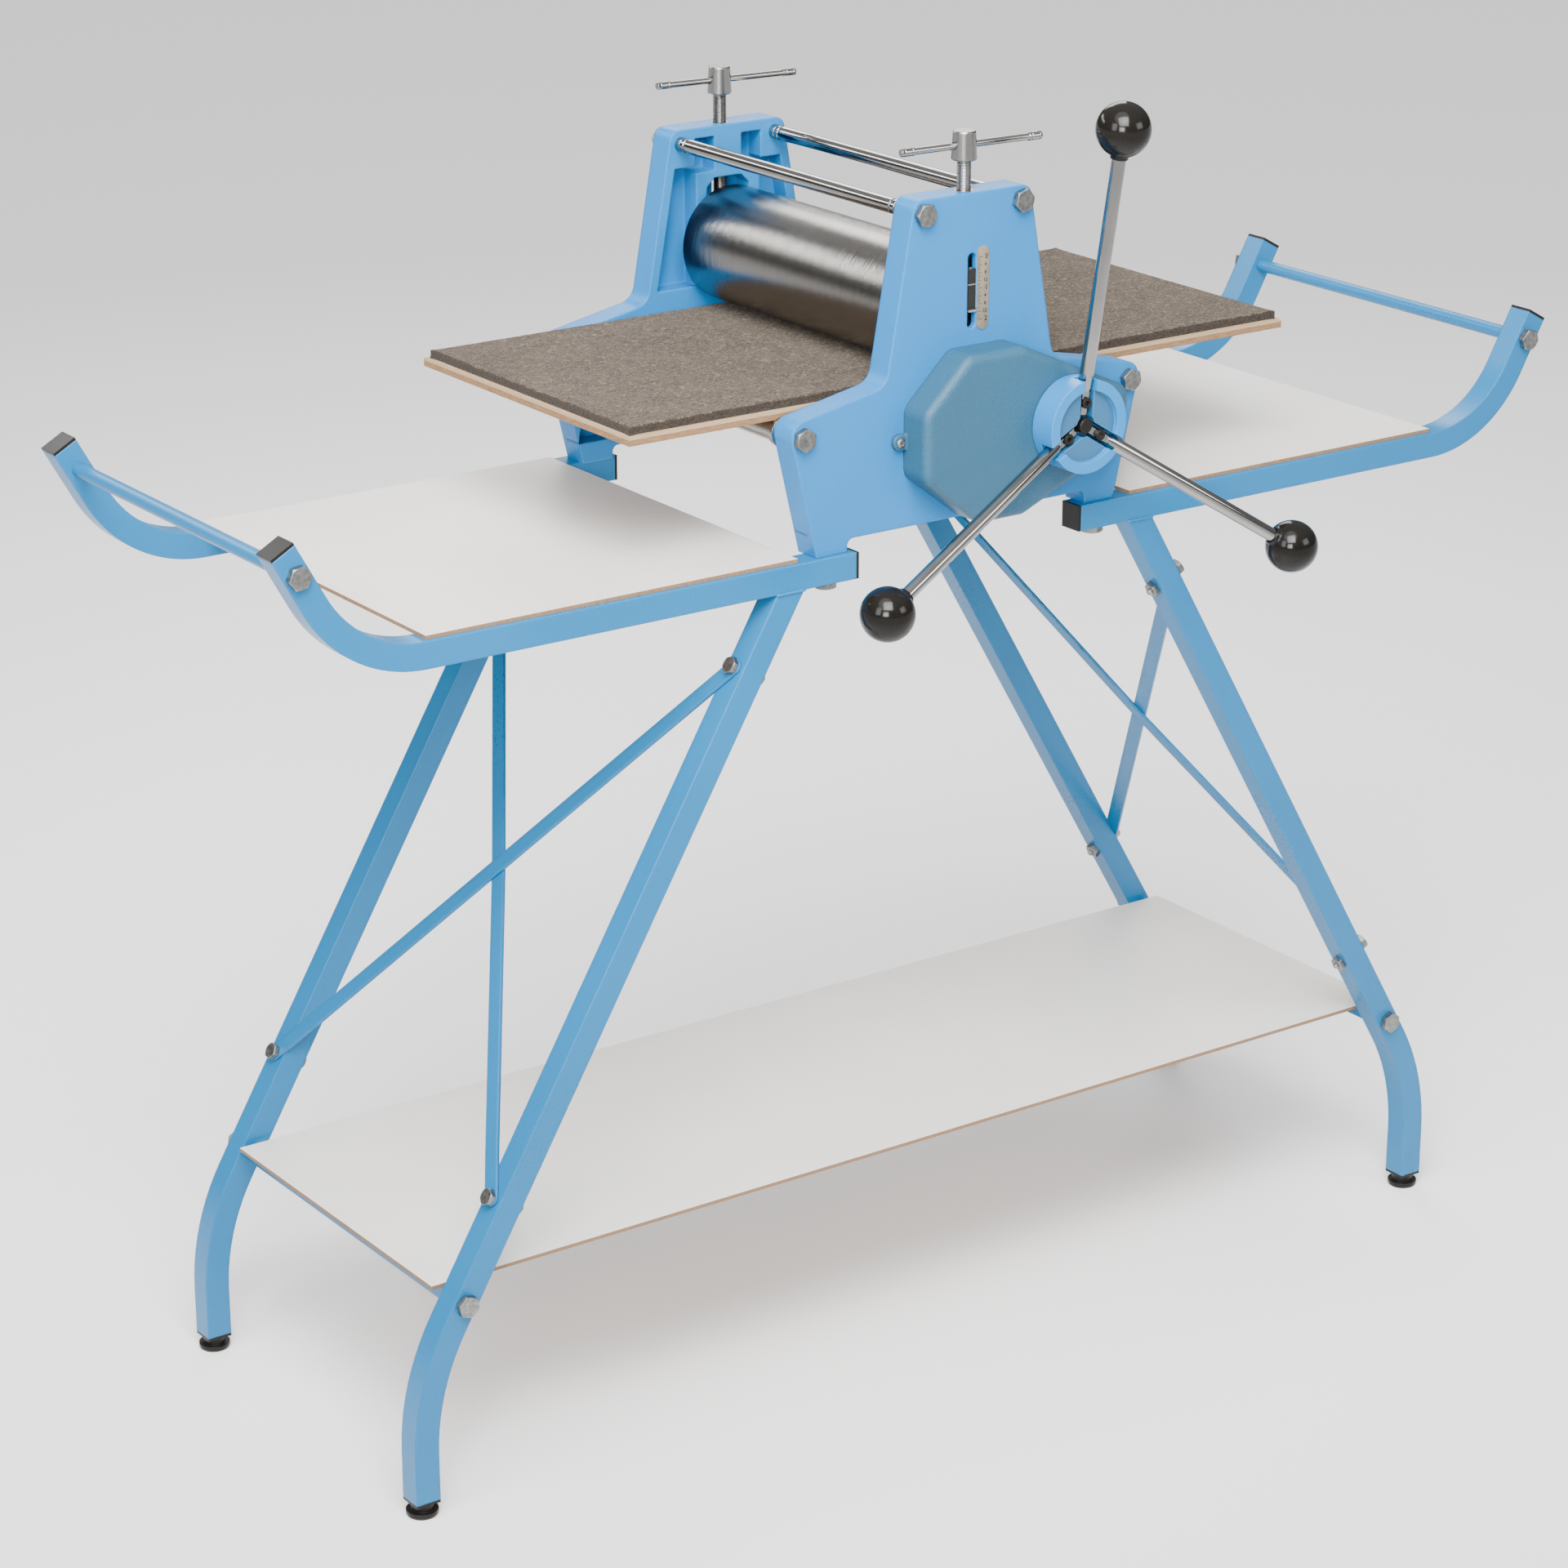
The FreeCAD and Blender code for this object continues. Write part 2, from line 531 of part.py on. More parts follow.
def brace(name, bowed):
    """Flat bar on the outer faces of the right legs, front top to back foot.

    It is drawn in the plane of the two bolts: along the bar, and out from the legs. A
    bowed bar springs inwards, and so passes inside the flat one where they cross."""
    drop = "((brace_high_z - brace_low_z) / cos(%s))" % LEG_LEAN
    length = "sqrt(%s^2 + (2 * stand_y)^2)" % drop
    owner = body(name)
    drawing = sketch(owner, "XY_Plane")
    thick, half = "brace_thick", "(%s / 2)" % length
    if bowed:
        dip = "-(brace_thick + brace_gap)"
        outline = [("0", "0"), ("brace_seat", "0"), (half + " - brace_pass", dip),
                   (half + " + brace_pass", dip), (length + " - brace_seat", "0"),
                   (length, "0"), (length, thick), (length + " - brace_seat", thick),
                   (half + " + brace_pass", dip + " + " + thick),
                   (half + " - brace_pass", dip + " + " + thick),
                   ("brace_seat", thick), ("0", thick)]
    else:
        outline = [("0", "0"), (length, "0"), (length, thick), ("0", thick)]
    polygon(drawing, outline)
    pad(owner, drawing, "brace_width", symmetric=True)
    DOC.recompute()
    ends = [rod("Y", "brace_width / 2", "brace_thick", (x, "0", "0")) for x in ("0", length)]
    holes = [rod("Y", "brace_bolt_radius + bolt_gap", "brace_thick * 3",
                 (x, "-brace_thick", "0")) for x in ("0", length)]
    strip = cut(fuse(owner, *ends), *holes)
    wrapper = group(strip)
    lean = math.radians(reading("%s / 1deg" % LEG_LEAN))
    down = Vector(math.sin(lean), 0, -math.cos(lean))
    normal = Vector(math.cos(lean), 0, math.sin(lean))
    side = 1 if bowed else -1
    fall = reading(drop)
    along = (down * fall + Vector(0, -side * 2 * size("stand_y"), 0)).normalize()
    across = along.cross(normal)
    turn = FreeCAD.Rotation(FreeCAD.Matrix(
        along.x, normal.x, across.x, 0, along.y, normal.y, across.y, 0,
        along.z, normal.z, across.z, 0, 0, 0, 0, 1))
    wrapper.Placement.Rotation = turn
    out = "(tube / 2)"
    for letter, text in (
            ("x", "%s + %s * cos(%s)" % (leg_x("brace_high_z"), out, LEG_LEAN)),
            ("y", "stand_y" if bowed else "-stand_y"),
            ("z", "brace_high_z + %s * sin(%s)" % (out, LEG_LEAN))):
        wrapper.setExpression("Placement.Base." + letter, bound(text))
    return wrapper


def brace_fasteners():
    """Bolts with their heads on the bars, and nuts on the legs' inner faces."""
    reach = "tube + brace_thick + brace_nut + brace_tail"
    bolts, nuts = [], []
    for height in ("brace_high_z", "brace_low_z"):
        shank = across_leg(height, "brace_bolt_radius", reach,
                           "-tube / 2 - brace_nut - brace_tail")
        head = across_leg(height, "brace_flats", "brace_head", "tube / 2 + brace_thick",
                          "Part::Prism")
        bolts.append(four_corners(fuse(shank, head)))
        nut = across_leg(height, "brace_flats", "brace_nut", "-tube / 2 - brace_nut",
                         "Part::Prism")
        bore = across_leg(height, "brace_bolt_radius + stem_gap", "brace_nut * 3",
                          "-tube / 2 - brace_nut * 2")
        nuts.append(four_corners(cut(nut, bore)))
    return group(*bolts), group(*nuts)


def build_stand():
    front_right, handle_x = rail()
    front_left = mirrored(front_right, (1, 0, 0))
    part("rail_front_right", front_right)
    part("rail_front_left", front_left)
    part("rail_back_right", mirrored(front_right, (0, 1, 0)))
    part("rail_back_left", mirrored(front_left, (0, 1, 0)))
    leg_right = leg()
    leg_left = mirrored(leg_right, (1, 0, 0))
    part("leg_front_right", leg_right)
    part("leg_front_left", leg_left)
    part("leg_back_right", mirrored(leg_right, (0, 1, 0)))
    part("leg_back_left", mirrored(leg_left, (0, 1, 0)))
    part("tube_end_caps", tube_end_caps())
    part("leg_plugs", leg_plugs())
    part("levelling_feet", levelling_feet())
    right_bar = handle_bar(handle_x)
    part("handle_bar_right", right_bar)
    part("handle_bar_left", mirrored(right_bar, (1, 0, 0)))
    beam = shelf_crossbar()
    part("shelf_crossbar_right", beam)
    part("shelf_crossbar_left", mirrored(beam, (1, 0, 0)))
    part("stand_bolts", group(four_corners(side_bolt(handle_x, "handle_z")),
                              four_corners(side_bolt("shelf_beam_x", "shelf_beam_z"))))
    part("shelf_board", box(
        ("-shelf_length / 2", "-shelf_width / 2", "shelf_beam_z + shelf_beam / 2"),
        ("shelf_length", "shelf_width", "shelf_thick")))
    table = box(("table_start_x", "-table_width / 2", "rail_top"),
                ("table_end_x - table_start_x", "table_width", "table_thick"))
    part("table_board_right", table)
    part("table_board_left", mirrored(table, (1, 0, 0)))
    for name, bowed in (("flat", False), ("bowed", True)):
        bar = brace("Brace_" + name, bowed)
        part("brace_right_" + name, bar)
        part("brace_left_" + name, mirrored(bar, (1, 0, 0)))
    bolts, nuts = brace_fasteners()
    part("brace_bolts", bolts)
    part("brace_nuts", nuts)


# ---- press frame ----------------------------------------------------------------------

SUPPORT_Z = "(bed_top - bed_thick - roll_gap - support_radius)"
LOWER_Z = "(bed_top - bed_thick - roll_gap - lower_roll)"
UPPER_Z = "(bed_top + felt_thick + roll_gap + upper_roll)"
CRANK_Z = "(%s + crank_rise)" % LOWER_Z
GEAR_REACH = "(gear_module * (gear_teeth + pinion_teeth) / 2)"
CRANK_X = "(sqrt(%s^2 - crank_rise^2))" % GEAR_REACH
FRAME_FACE = "(frame_inner_y + frame_depth)"
SCREW_Y = "(frame_inner_y + frame_depth / 2)"
COVER_FACE = "(%s + cover_depth)" % FRAME_FACE
HUB_BACK = "(%s + hub_gap)" % COVER_FACE
HUB_FACE = "(%s + hub_depth)" % HUB_BACK
ARM_Y = "(%s - hub_groove_depth + arm_flat)" % HUB_FACE
BLOCK_LOW = "(%s - block_height / 2)" % UPPER_Z


def frame_outline():
    right = [("tower_top_x", "frame_top"), ("tower_base_x", "tower_base_z"),
             ("shoulder_x", "shoulder_z"), ("foot_outer_x", "rail_top"),
             ("foot_inner_x", "rail_top"), ("foot_inner_x", "arch_z")]
    left = [("-" + x, z) for x, z in reversed(right)]
    return right + left


def pockets_outline():
    """Recesses of the casting's inner side, right half: tower channel, top, shoulder."""
    rib_x = "(guide_half + rib)"
    slope = "((tower_base_x - tower_top_x) / (frame_top - tower_base_z))"

    def rim_x(height):
        return "(tower_top_x + %s * (frame_top - (%s)) - frame_rim)" % (slope, height)

    low, high = "(tower_base_z + frame_rim)", "(upper_rod_z - rod_boss * 2)"
    channel = [(rib_x, low), (rim_x(low), low), (rim_x(high), high), (rib_x, high)]
    top_low, top_high = "(guide_top + frame_skin)", "(frame_top - frame_rim)"
    top_x = "(upper_rod_x - rod_boss - 4)"
    top = [("post_half", top_low), (top_x, top_low), (top_x, top_high),
           ("post_half", top_high)]
    side_x = "(lower_rod_x - rod_boss - 4)"
    floor = "(rail_top + foot_floor)"
    step = "(rail_top + foot_floor + 10)"
    inner_x = "(%s + 26)" % CRANK_X
    shoulder = [(inner_x, step), ("foot_inner_x + 4", step), ("foot_inner_x + 4", floor),
                ("foot_outer_x - 4.5", floor), (side_x, "rail_top + 50"),
                (side_x, "shoulder_z - frame_rim + 2"), (inner_x, "shoulder_z - frame_rim / 4 + 4")]
    return [channel, top, shoulder]


def frame_casting():
    """Side frame: an outer skin, a deep rim, ribs each side of the bearing guide."""
    owner = body("Frame")
    drawing = sketch(owner, "XZ_Plane", "frame_inner_y")
    polygon(drawing, frame_outline())
    base = pad(owner, drawing, "frame_depth")
    DOC.recompute()
    rounds = [("top_round", [0, 11]), ("base_round", [1, 10]), ("shoulder_round", [2, 9]),
              ("arch_round", [5, 6])]
    corners = [Vector(reading(x), 0, reading(z))
               for x, z in frame_outline()]
    for radius, picks in rounds:
        names = edges_at(base.Shape, [corners[k] for k in picks], Vector(0, 1, 0))
        base = fillet(owner, base, names, radius)
    depth = "frame_depth - frame_skin"
    guide = [("-guide_half", BLOCK_LOW + " - block_end_gap * 3"),
             ("guide_half", BLOCK_LOW + " - block_end_gap * 3"),
             ("guide_half", "guide_top - guide_round"),
             ("guide_half - guide_round", "guide_top"),
             ("guide_round - guide_half", "guide_top"),
             ("-guide_half", "guide_top - guide_round")]
    outlines = [guide]
    for outline in pockets_outline():
        outlines.append(outline)
        outlines.append([("-" + x, z) for x, z in reversed(outline)])
    for outline in outlines:
        drawing = sketch(owner, "XZ_Plane", "frame_inner_y")
        polygon(drawing, outline)
        pocket(owner, drawing, depth, reverse=True)
        DOC.recompute()
    return owner


def frame_holes():
    """Through holes that both side frames have."""
    start = "-%s - 5" % FRAME_FACE
    length = "frame_depth + 10"
    holes = []
    for x, z in (("upper_rod_x", "upper_rod_z"), ("lower_rod_x", SUPPORT_Z)):
        for sign in ("", "-"):
            holes.append(rod("Y", "bolt_radius + bolt_gap", length, (sign + x, start, z)))
    holes.append(rod("Y", "journal + running_gap + bush_wall", length, ("0", start, LOWER_Z)))
    holes.append(rod("Z", "screw_nut_radius", "screw_nut_length + 10",
                     ("0", "-" + SCREW_Y, "frame_top - screw_nut_length")))
    holes.append(rod("Z", "screw_radius + 1", "screw_nut_length * 2",
                     ("0", "-" + SCREW_Y, "frame_top - screw_nut_length * 2 + 5")))
    for sign in ("", "-"):
        holes.append(rod("Z", "bolt_radius + stem_gap", "foot_floor * 2 - 2",
                         (sign + "foot_bolt_x", "-foot_bolt_y", "rail_top - foot_floor")))
    holes.append(box(("-slot_half", start, "slot_low_z + slot_half"),
                     ("slot_half * 2", length, "slot_high_z - slot_low_z - slot_half * 2")))
    for z in ("slot_low_z + slot_half", "slot_high_z - slot_half"):
        holes.append(rod("Y", "slot_half", length, ("0", start, z)))
    return holes


def build_frames():
    plain = cut(frame_casting(), *frame_holes())
    part("side_frame_back", mirrored(plain, (0, 1, 0)))
    start = "-%s - 5" % FRAME_FACE
    crank_hole = rod("Y", "crank_shaft + running_gap + bush_wall", "frame_depth + 10",
                     (CRANK_X, start, CRANK_Z))
    screw_holes = [rod("Y", "cover_screw + bolt_gap", "cover_screw_reach + 5",
                       (x, start, "ear_z")) for x in EAR_X]
    part("side_frame_front", cut(plain, crank_hole, *screw_holes))
    foot_bolt = fuse(
        hexagon("Z", "bolt_flats", "bolt_head",
                ("foot_bolt_x", "-foot_bolt_y", RAIL_BOTTOM + " - bolt_head")),
        rod("Z", "bolt_radius", "tube + foot_floor - 3",
            ("foot_bolt_x", "-foot_bolt_y", RAIL_BOTTOM)))
    part("foot_bolts", four_corners(foot_bolt))
    nut_bush = cut(
        rod("Z", "screw_nut_radius", "screw_nut_length",
            ("0", "-" + SCREW_Y, "frame_top - screw_nut_length")),
        rod("Z", "screw_radius + running_gap", "screw_nut_length * 3",
            ("0", "-" + SCREW_Y, "frame_top - screw_nut_length * 2")))
    part("screw_nut_bushes", both_sides(nut_bush))


def tie_rod(x_text, z_text):
    """Round bar between the side frames, grooved near its ends and drilled for bolts."""
    bar = rod("Y", "rod_radius", "2 * frame_inner_y", (x_text, "-frame_inner_y", z_text))
    for at in ("-frame_inner_y - 5", "frame_inner_y - rod_bolt_deep"):
        bar = cut(bar, rod("Y", "bolt_radius + stem_gap", "rod_bolt_deep + 5",
                           (x_text, at, z_text)))
    for at in ("-frame_inner_y + rod_neck_at", "frame_inner_y - rod_neck_at - rod_neck_length"):
        ring = cut(rod("Y", "rod_radius * 2", "rod_neck_length", (x_text, at, z_text)),
                   rod("Y", "rod_neck_radius", "rod_neck_length * 3",
                       (x_text, at + " - rod_neck_length", z_text)))
        bar = cut(bar, ring)
    return bar


def rod_bolt(x_text, z_text):
    """Hexagon bolt from outside the front frame into the end of a tie rod."""
    return fuse(
        hexagon("Y", "bolt_flats", "bolt_head",
                (x_text, "-%s - bolt_head" % FRAME_FACE, z_text)),
        rod("Y", "bolt_radius", "frame_depth + rod_bolt_reach",
            (x_text, "-" + FRAME_FACE, z_text)))


def build_ties():
    upper = tie_rod("upper_rod_x", "upper_rod_z")
    part("upper_tie_rods", group(upper, mirrored(upper, (1, 0, 0))))
    lower = tie_rod("lower_rod_x", SUPPORT_Z)
    part("lower_tie_rods", group(lower, mirrored(lower, (1, 0, 0))))
    part("tie_rod_bolts", group(four_corners(rod_bolt("upper_rod_x", "upper_rod_z")),
                                four_corners(rod_bolt("lower_rod_x", SUPPORT_Z))))
    inner = "frame_inner_y - collar_length - roll_gap"
    roller = cut(rod("Y", "support_radius", "2 * (%s)" % inner,
                     ("lower_rod_x", "-(%s)" % inner, SUPPORT_Z)),
                 rod("Y", "rod_radius + running_gap", "2 * frame_inner_y",
                     ("lower_rod_x", "-frame_inner_y", SUPPORT_Z)))
    part("support_roller_right", roller)
    part("support_roller_left", mirrored(roller, (1, 0, 0)))
    collar = cut(rod("Y", "collar_radius", "collar_length",
                     ("lower_rod_x", "-frame_inner_y", SUPPORT_Z)),
                 rod("Y", "rod_radius + stem_gap", "collar_length * 3",
                     ("lower_rod_x", "-frame_inner_y - collar_length", SUPPORT_Z)))
    part("support_roller_collars", four_corners(collar))


# ---- rollers, bearings and pressure screws ----------------------------------------------

def roller(radius, z_text, front_end, back_end):
    """Roller with chamfered edges, turned in one piece with its journals."""
    middle = fuse(
        cone("Y", radius + " - roll_chamfer", radius, "roll_chamfer", ("0", "-roll_half", z_text)),
        rod("Y", radius, "2 * (roll_half - roll_chamfer)",
            ("0", "roll_chamfer - roll_half", z_text)),
        cone("Y", radius, radius + " - roll_chamfer", "roll_chamfer",
             ("0", "roll_half - roll_chamfer", z_text)))
    journals = rod("Y", "journal", "(%s) + (%s)" % (front_end, back_end),
                   ("0", "-(%s)" % front_end, z_text))
    return fuse(middle, journals)


def build_rollers():
    part("upper_roller", roller("upper_roll", UPPER_Z, "journal_end", "journal_end"))
    gear_end = "%s + gear_start + gear_width + 3" % FRAME_FACE
    part("lower_roller", roller("lower_roll", LOWER_Z, gear_end, FRAME_FACE + " - 2"))
    bush = cut(
        rod("Y", "journal + running_gap + bush_wall", "frame_depth",
            ("0", "-" + FRAME_FACE, LOWER_Z)),
        rod("Y", "journal + running_gap", "frame_depth * 3",
            ("0", "-%s - frame_depth" % FRAME_FACE, LOWER_Z)))
    crank_bush = cut(
        rod("Y", "crank_shaft + running_gap + bush_wall", "frame_depth",
            (CRANK_X, "-" + FRAME_FACE, CRANK_Z)),
        rod("Y", "crank_shaft + running_gap", "frame_depth * 3",
            (CRANK_X, "-%s - frame_depth" % FRAME_FACE, CRANK_Z)))
    part("frame_bushes", group(both_sides(bush), crank_bush))
    block_depth = "(frame_depth - frame_skin - 1 - block_end_gap)"
    block = cut(
        box(("-guide_half + running_gap", "-block_inner_y - " + block_depth, BLOCK_LOW),
            ("2 * (guide_half - running_gap)", block_depth, "block_height")),
        rod("Y", "journal + running_gap + bush_wall", "frame_depth * 3",
            ("0", "-%s - frame_depth" % FRAME_FACE, UPPER_Z)))
    part("bearing_block_front", block)
    part("bearing_block_back", mirrored(block, (0, 1, 0)))
    upper_bush = cut(
        rod("Y", "journal + running_gap + bush_wall", block_depth,
            ("0", "-block_inner_y - " + block_depth, UPPER_Z)),
        rod("Y", "journal + running_gap", "frame_depth * 3",
            ("0", "-%s - frame_depth" % FRAME_FACE, UPPER_Z)))
    part("upper_bushes", both_sides(upper_bush))
    pointer_y = "-%s - pointer_proud / 5" % FRAME_FACE
    back_y = "-block_inner_y - " + block_depth
    low_z = BLOCK_LOW + " + block_height / 2 + pointer_low"
    stem = box(("-pointer_half", pointer_y, low_z),
               ("2 * pointer_half", "(%s) - (%s)" % (back_y, pointer_y), "pointer_high"))
    owner = body("Lip")
    drawing = sketch(owner, "XZ_Plane", FRAME_FACE + " + pointer_proud / 10")
    polygon(drawing, [("-pointer_half", low_z), ("pointer_half", low_z),
                      ("pointer_tip", low_z + " + pointer_lip / 2"),
                      ("pointer_half", low_z + " + pointer_lip"),
                      ("-pointer_half", low_z + " + pointer_lip")])
    pad(owner, drawing, "pointer_proud")
    part("pressure_pointer", fuse(stem, owner))


def pressure_screw():
    """Front screw: it bears on the block and carries a drilled, tapered head."""
    foot_z = "%s + block_height + seat_gap" % BLOCK_LOW
    axis = ("0", "-" + SCREW_Y)
    stem = rod("Z", "screw_radius", "screw_head_z - (%s)" % foot_z, axis + (foot_z,))
    head = cone("Z", "head_low", "head_high", "head_height", axis + ("screw_head_z",))
    return fuse(stem, head)


BAR_Z = "(screw_head_z + head_height / 2)"


def bar_piece(radius, length, start, side, turn):
    """A cylinder on a tommy bar's line, from a distance along it."""
    obj = DOC.addObject("Part::Cylinder", "Bar")
    bind(obj, Radius=radius, Height=length)
    across = "-" + SCREW_Y if side == FRONT else SCREW_Y
    place(obj, ("(%s) * cos(%s * 1deg)" % (start, turn),
                "%s + (%s) * sin(%s * 1deg)" % (across, start, turn), BAR_Z))
    direction = FreeCAD.Rotation(Vector(0, 0, 1), size(turn))
    obj.Placement.Rotation = direction.multiply(FreeCAD.Rotation(Vector(0, 1, 0), 90))
    return obj


def build_screws():
    front = pressure_screw()
    for side, turn in ((FRONT, "front_bar_turn"), (BACK, "back_bar_turn")):
        stem = front if side == FRONT else mirrored(front, (0, 1, 0))
        bore = bar_piece("bar_radius + bar_gap", "head_low * 4", "-head_low * 2", side, turn)
        part("pressure_screw_" + side, cut(stem, bore))
        start = "bar_shift - bar_length / 2"
        far = "bar_shift + bar_length / 2 - bar_sleeve_length"
        part("tommy_bar_" + side, fuse(
            bar_piece("bar_radius", "bar_length", start, side, turn),
            bar_piece("bar_sleeve", "bar_sleeve_length", start, side, turn),
            bar_piece("bar_sleeve", "bar_sleeve_length", far, side, turn)))


# ---- gears, cover and crank ---------------------------------------------------------------

def involute(angle):
    return math.tan(angle) - angle


def gear_shape(teeth, centre_x, centre_z, bore, phase):
    """Spur gear with its axis along Y; a tooth's middle stands at the phase angle."""
    module, play, width = size("gear_module"), size("gear_play"), size("gear_width")
    pitch = module * teeth / 2
    root, tip = pitch - 1.25 * module, pitch + module
    pressure = math.radians(20)
    base = pitch * math.cos(pressure)
    half_pitch = math.pi / 2 / teeth + involute(pressure) - play / 2 / pitch
    steps = [max(base, root) + (tip - max(base, root)) * k / 4 for k in range(5)]
    flank = [(radius, half_pitch - involute(math.acos(min(1, base / radius))))
             for radius in steps]
    flank.insert(0, (root, flank[0][1]))
    points = []
    for tooth in range(int(teeth)):
        middle = phase + 2 * math.pi * tooth / teeth
        rise = [(radius, middle - half) for radius, half in flank]
        fall = [(radius, middle + half) for radius, half in reversed(flank)]
        for radius, angle in rise + fall:
            points.append(Vector(centre_x + radius * math.cos(angle), 0,
                                 centre_z + radius * math.sin(angle)))
    points.append(points[0])
    start = -(size("frame_inner_y") + size("frame_depth") + size("gear_start") + width)
    solid = Part.Face(Part.makePolygon(points)).extrude(Vector(0, width, 0))
    hole = Part.makeCylinder(bore, width, Vector(centre_x, 0, centre_z), Vector(0, 1, 0))
    solid = solid.cut(hole)
    solid.translate(Vector(0, start, 0))
    return solid


def build_gears():
    """The two gears, in mesh where the line of centres crosses both pitch circles."""
    crank_x, crank_z = reading(CRANK_X), reading(CRANK_Z)
    lower_z = reading(LOWER_Z)
    line = math.atan2(crank_z - lower_z, crank_x)
    teeth, small = size("gear_teeth"), size("pinion_teeth")
    large = DOC.addObject("Part::Feature", "LargeGear")
    large.Shape = gear_shape(teeth, 0, lower_z, size("journal"), line)
    part("drive_gear", large)
    pinion = DOC.addObject("Part::Feature", "Pinion")
    pinion.Shape = gear_shape(small, crank_x, crank_z, size("crank_shaft"),
                              line + math.pi + math.pi / small)
    part("pinion_gear", pinion)


EAR_X = ("cover_left - ear_reach", "cover_right + ear_reach")


def gear_cover():
    """Cast cover: an eight-sided dome over the gear that narrows over the pinion."""
    outline = [("cover_left", "cover_left_low"), ("cover_low_left", "cover_low"),
               ("cover_low_right", "cover_low"), ("cover_right", "cover_right_low"),
               ("cover_right", "cover_right_high"), ("cover_top_right", "cover_high"),
               ("cover_top_left", "cover_high"), ("cover_left", "cover_left_high")]
    owner = body("Cover")
    drawing = sketch(owner, "XZ_Plane", FRAME_FACE)
    polygon(drawing, outline)
    base = pad(owner, drawing, "cover_depth")
    DOC.recompute()
    corners = [Vector(reading(x), 0, reading(z))
               for x, z in outline]
    base = fillet(owner, base, edges_at(base.Shape, corners, Vector(0, 1, 0)), "cover_corner")
    face_y = -reading(COVER_FACE)
    rim = ["Edge%d" % number for number, edge in enumerate(base.Shape.Edges, 1)
           if all(abs(vertex.Point.y - face_y) < 1e-4 for vertex in edge.Vertexes)]
    base = fillet(owner, base, rim, "cover_round")
    back = [number for number, face in enumerate(base.Shape.Faces, 1)
            if abs(face.CenterOfMass.y + reading(FRAME_FACE)) < 1e-4]
    shell = owner.newObject("PartDesign::Thickness", "Shell")
    shell.Base = (base, ["Face%d" % back[0]])
    bind(shell, Value="cover_wall")
    shell.Reversed = True
    shell.Join = 0
    DOC.recompute()
    ears = []
    for x, near in zip(EAR_X, ("cover_left", "cover_right")):
        start = "-%s - ear_thick" % FRAME_FACE
        ears.append(rod("Y", "ear_radius", "ear_thick", (x, start, "ear_z")))
        low = x if near == "cover_left" else near + " - cover_wall"
        ears.append(box((low, start, "ear_z - ear_radius"),
                        ("ear_reach + cover_wall", "ear_thick", "2 * ear_radius")))
    holes = [rod("Y", "cover_screw + bolt_gap", "ear_thick * 3",
                 (x, "-%s - ear_thick * 2" % FRAME_FACE, "ear_z")) for x in EAR_X]
    holes.append(rod("Y", "crank_shaft + 1", "cover_wall * 5",
                     (CRANK_X, "-%s - cover_wall" % COVER_FACE, CRANK_Z)))
    return cut(fuse(owner, *ears), *holes)


def cover_screws():
    screws = []
    for x in EAR_X:
        seat = "-%s - ear_thick" % FRAME_FACE
        screws.append(fuse(
            cone("Y", "cover_screw_head - 1", "cover_screw_head", "cover_screw_high",
                 (x, seat + " - cover_screw_high", "ear_z")),
            rod("Y", "cover_screw", "cover_screw_reach", (x, seat, "ear_z"))))
    return group(*screws)


def around_crank(build):
    """Three copies of a piece about the crank's axis, from the arm angle on."""
    pieces = []
    for k in range(int(size("arm_count"))):
        pieces.append(build("(arm_turn + %d * 360 / arm_count)" % k))
    return group(*pieces)


def crank_local(obj, radial, out, turn, lean=0.0):
    """Place a piece on an arm's line: radial from the axis, out along -Y from the arms.

    The piece's own +Z points outward along the arm, leaned out by a fixed angle."""
    place(obj, ("%s + (%s) * sin(%s * 1deg)" % (CRANK_X, radial, turn),
                "-%s - (%s)" % (ARM_Y, out),
                "%s + (%s) * cos(%s * 1deg)" % (CRANK_Z, radial, turn)))
    angle = reading(turn)
    obj.Placement.Rotation = FreeCAD.Rotation(Vector(0, 1, 0), angle).multiply(
        FreeCAD.Rotation(Vector(1, 0, 0), lean))
    return obj


def arm_lean():
    return math.degrees(math.atan2(size("arm_splay"), size("arm_reach")))


def arm(turn):
    """Round arm, splayed away from the frame and filed flat where it lies in the hub."""
    lean = arm_lean()
    bar = DOC.addObject("Part::Cylinder", "Arm")
    bind(bar, Radius="arm_radius", Height="arm_reach - knob_radius + knob_depth - arm_start")
    crank_local(bar, "arm_start", "arm_start * arm_splay / arm_reach", turn, lean)
    flats = []
    for near, span in (("arm_flat + arm_flat_reach * 0.06", "arm_radius * 2"),
                       ("-arm_flat - arm_radius * 2", "arm_radius * 2")):
        block = DOC.addObject("Part::Box", "Flat")
        bind(block, Length="arm_radius * 4", Width=span,
             Height="arm_flat_reach" if near[0] == "a" else "arm_flat_reach * 2")
        half = "(arm_radius * 2)"
        place(block, ("%s - %s * cos(%s * 1deg)" % (CRANK_X, half, turn),
                      "-%s - (%s) - (%s)" % (ARM_Y, near, span),
                      "%s + %s * sin(%s * 1deg)" % (CRANK_Z, half, turn)))
        block.Placement.Rotation = FreeCAD.Rotation(
            Vector(0, 1, 0), reading(turn))
        flats.append(block)
    hole = screw_rod("arm_screw + bolt_gap", "arm_radius * 6", "-arm_radius * 3", turn)
    return cut(bar, *(flats + [hole]))


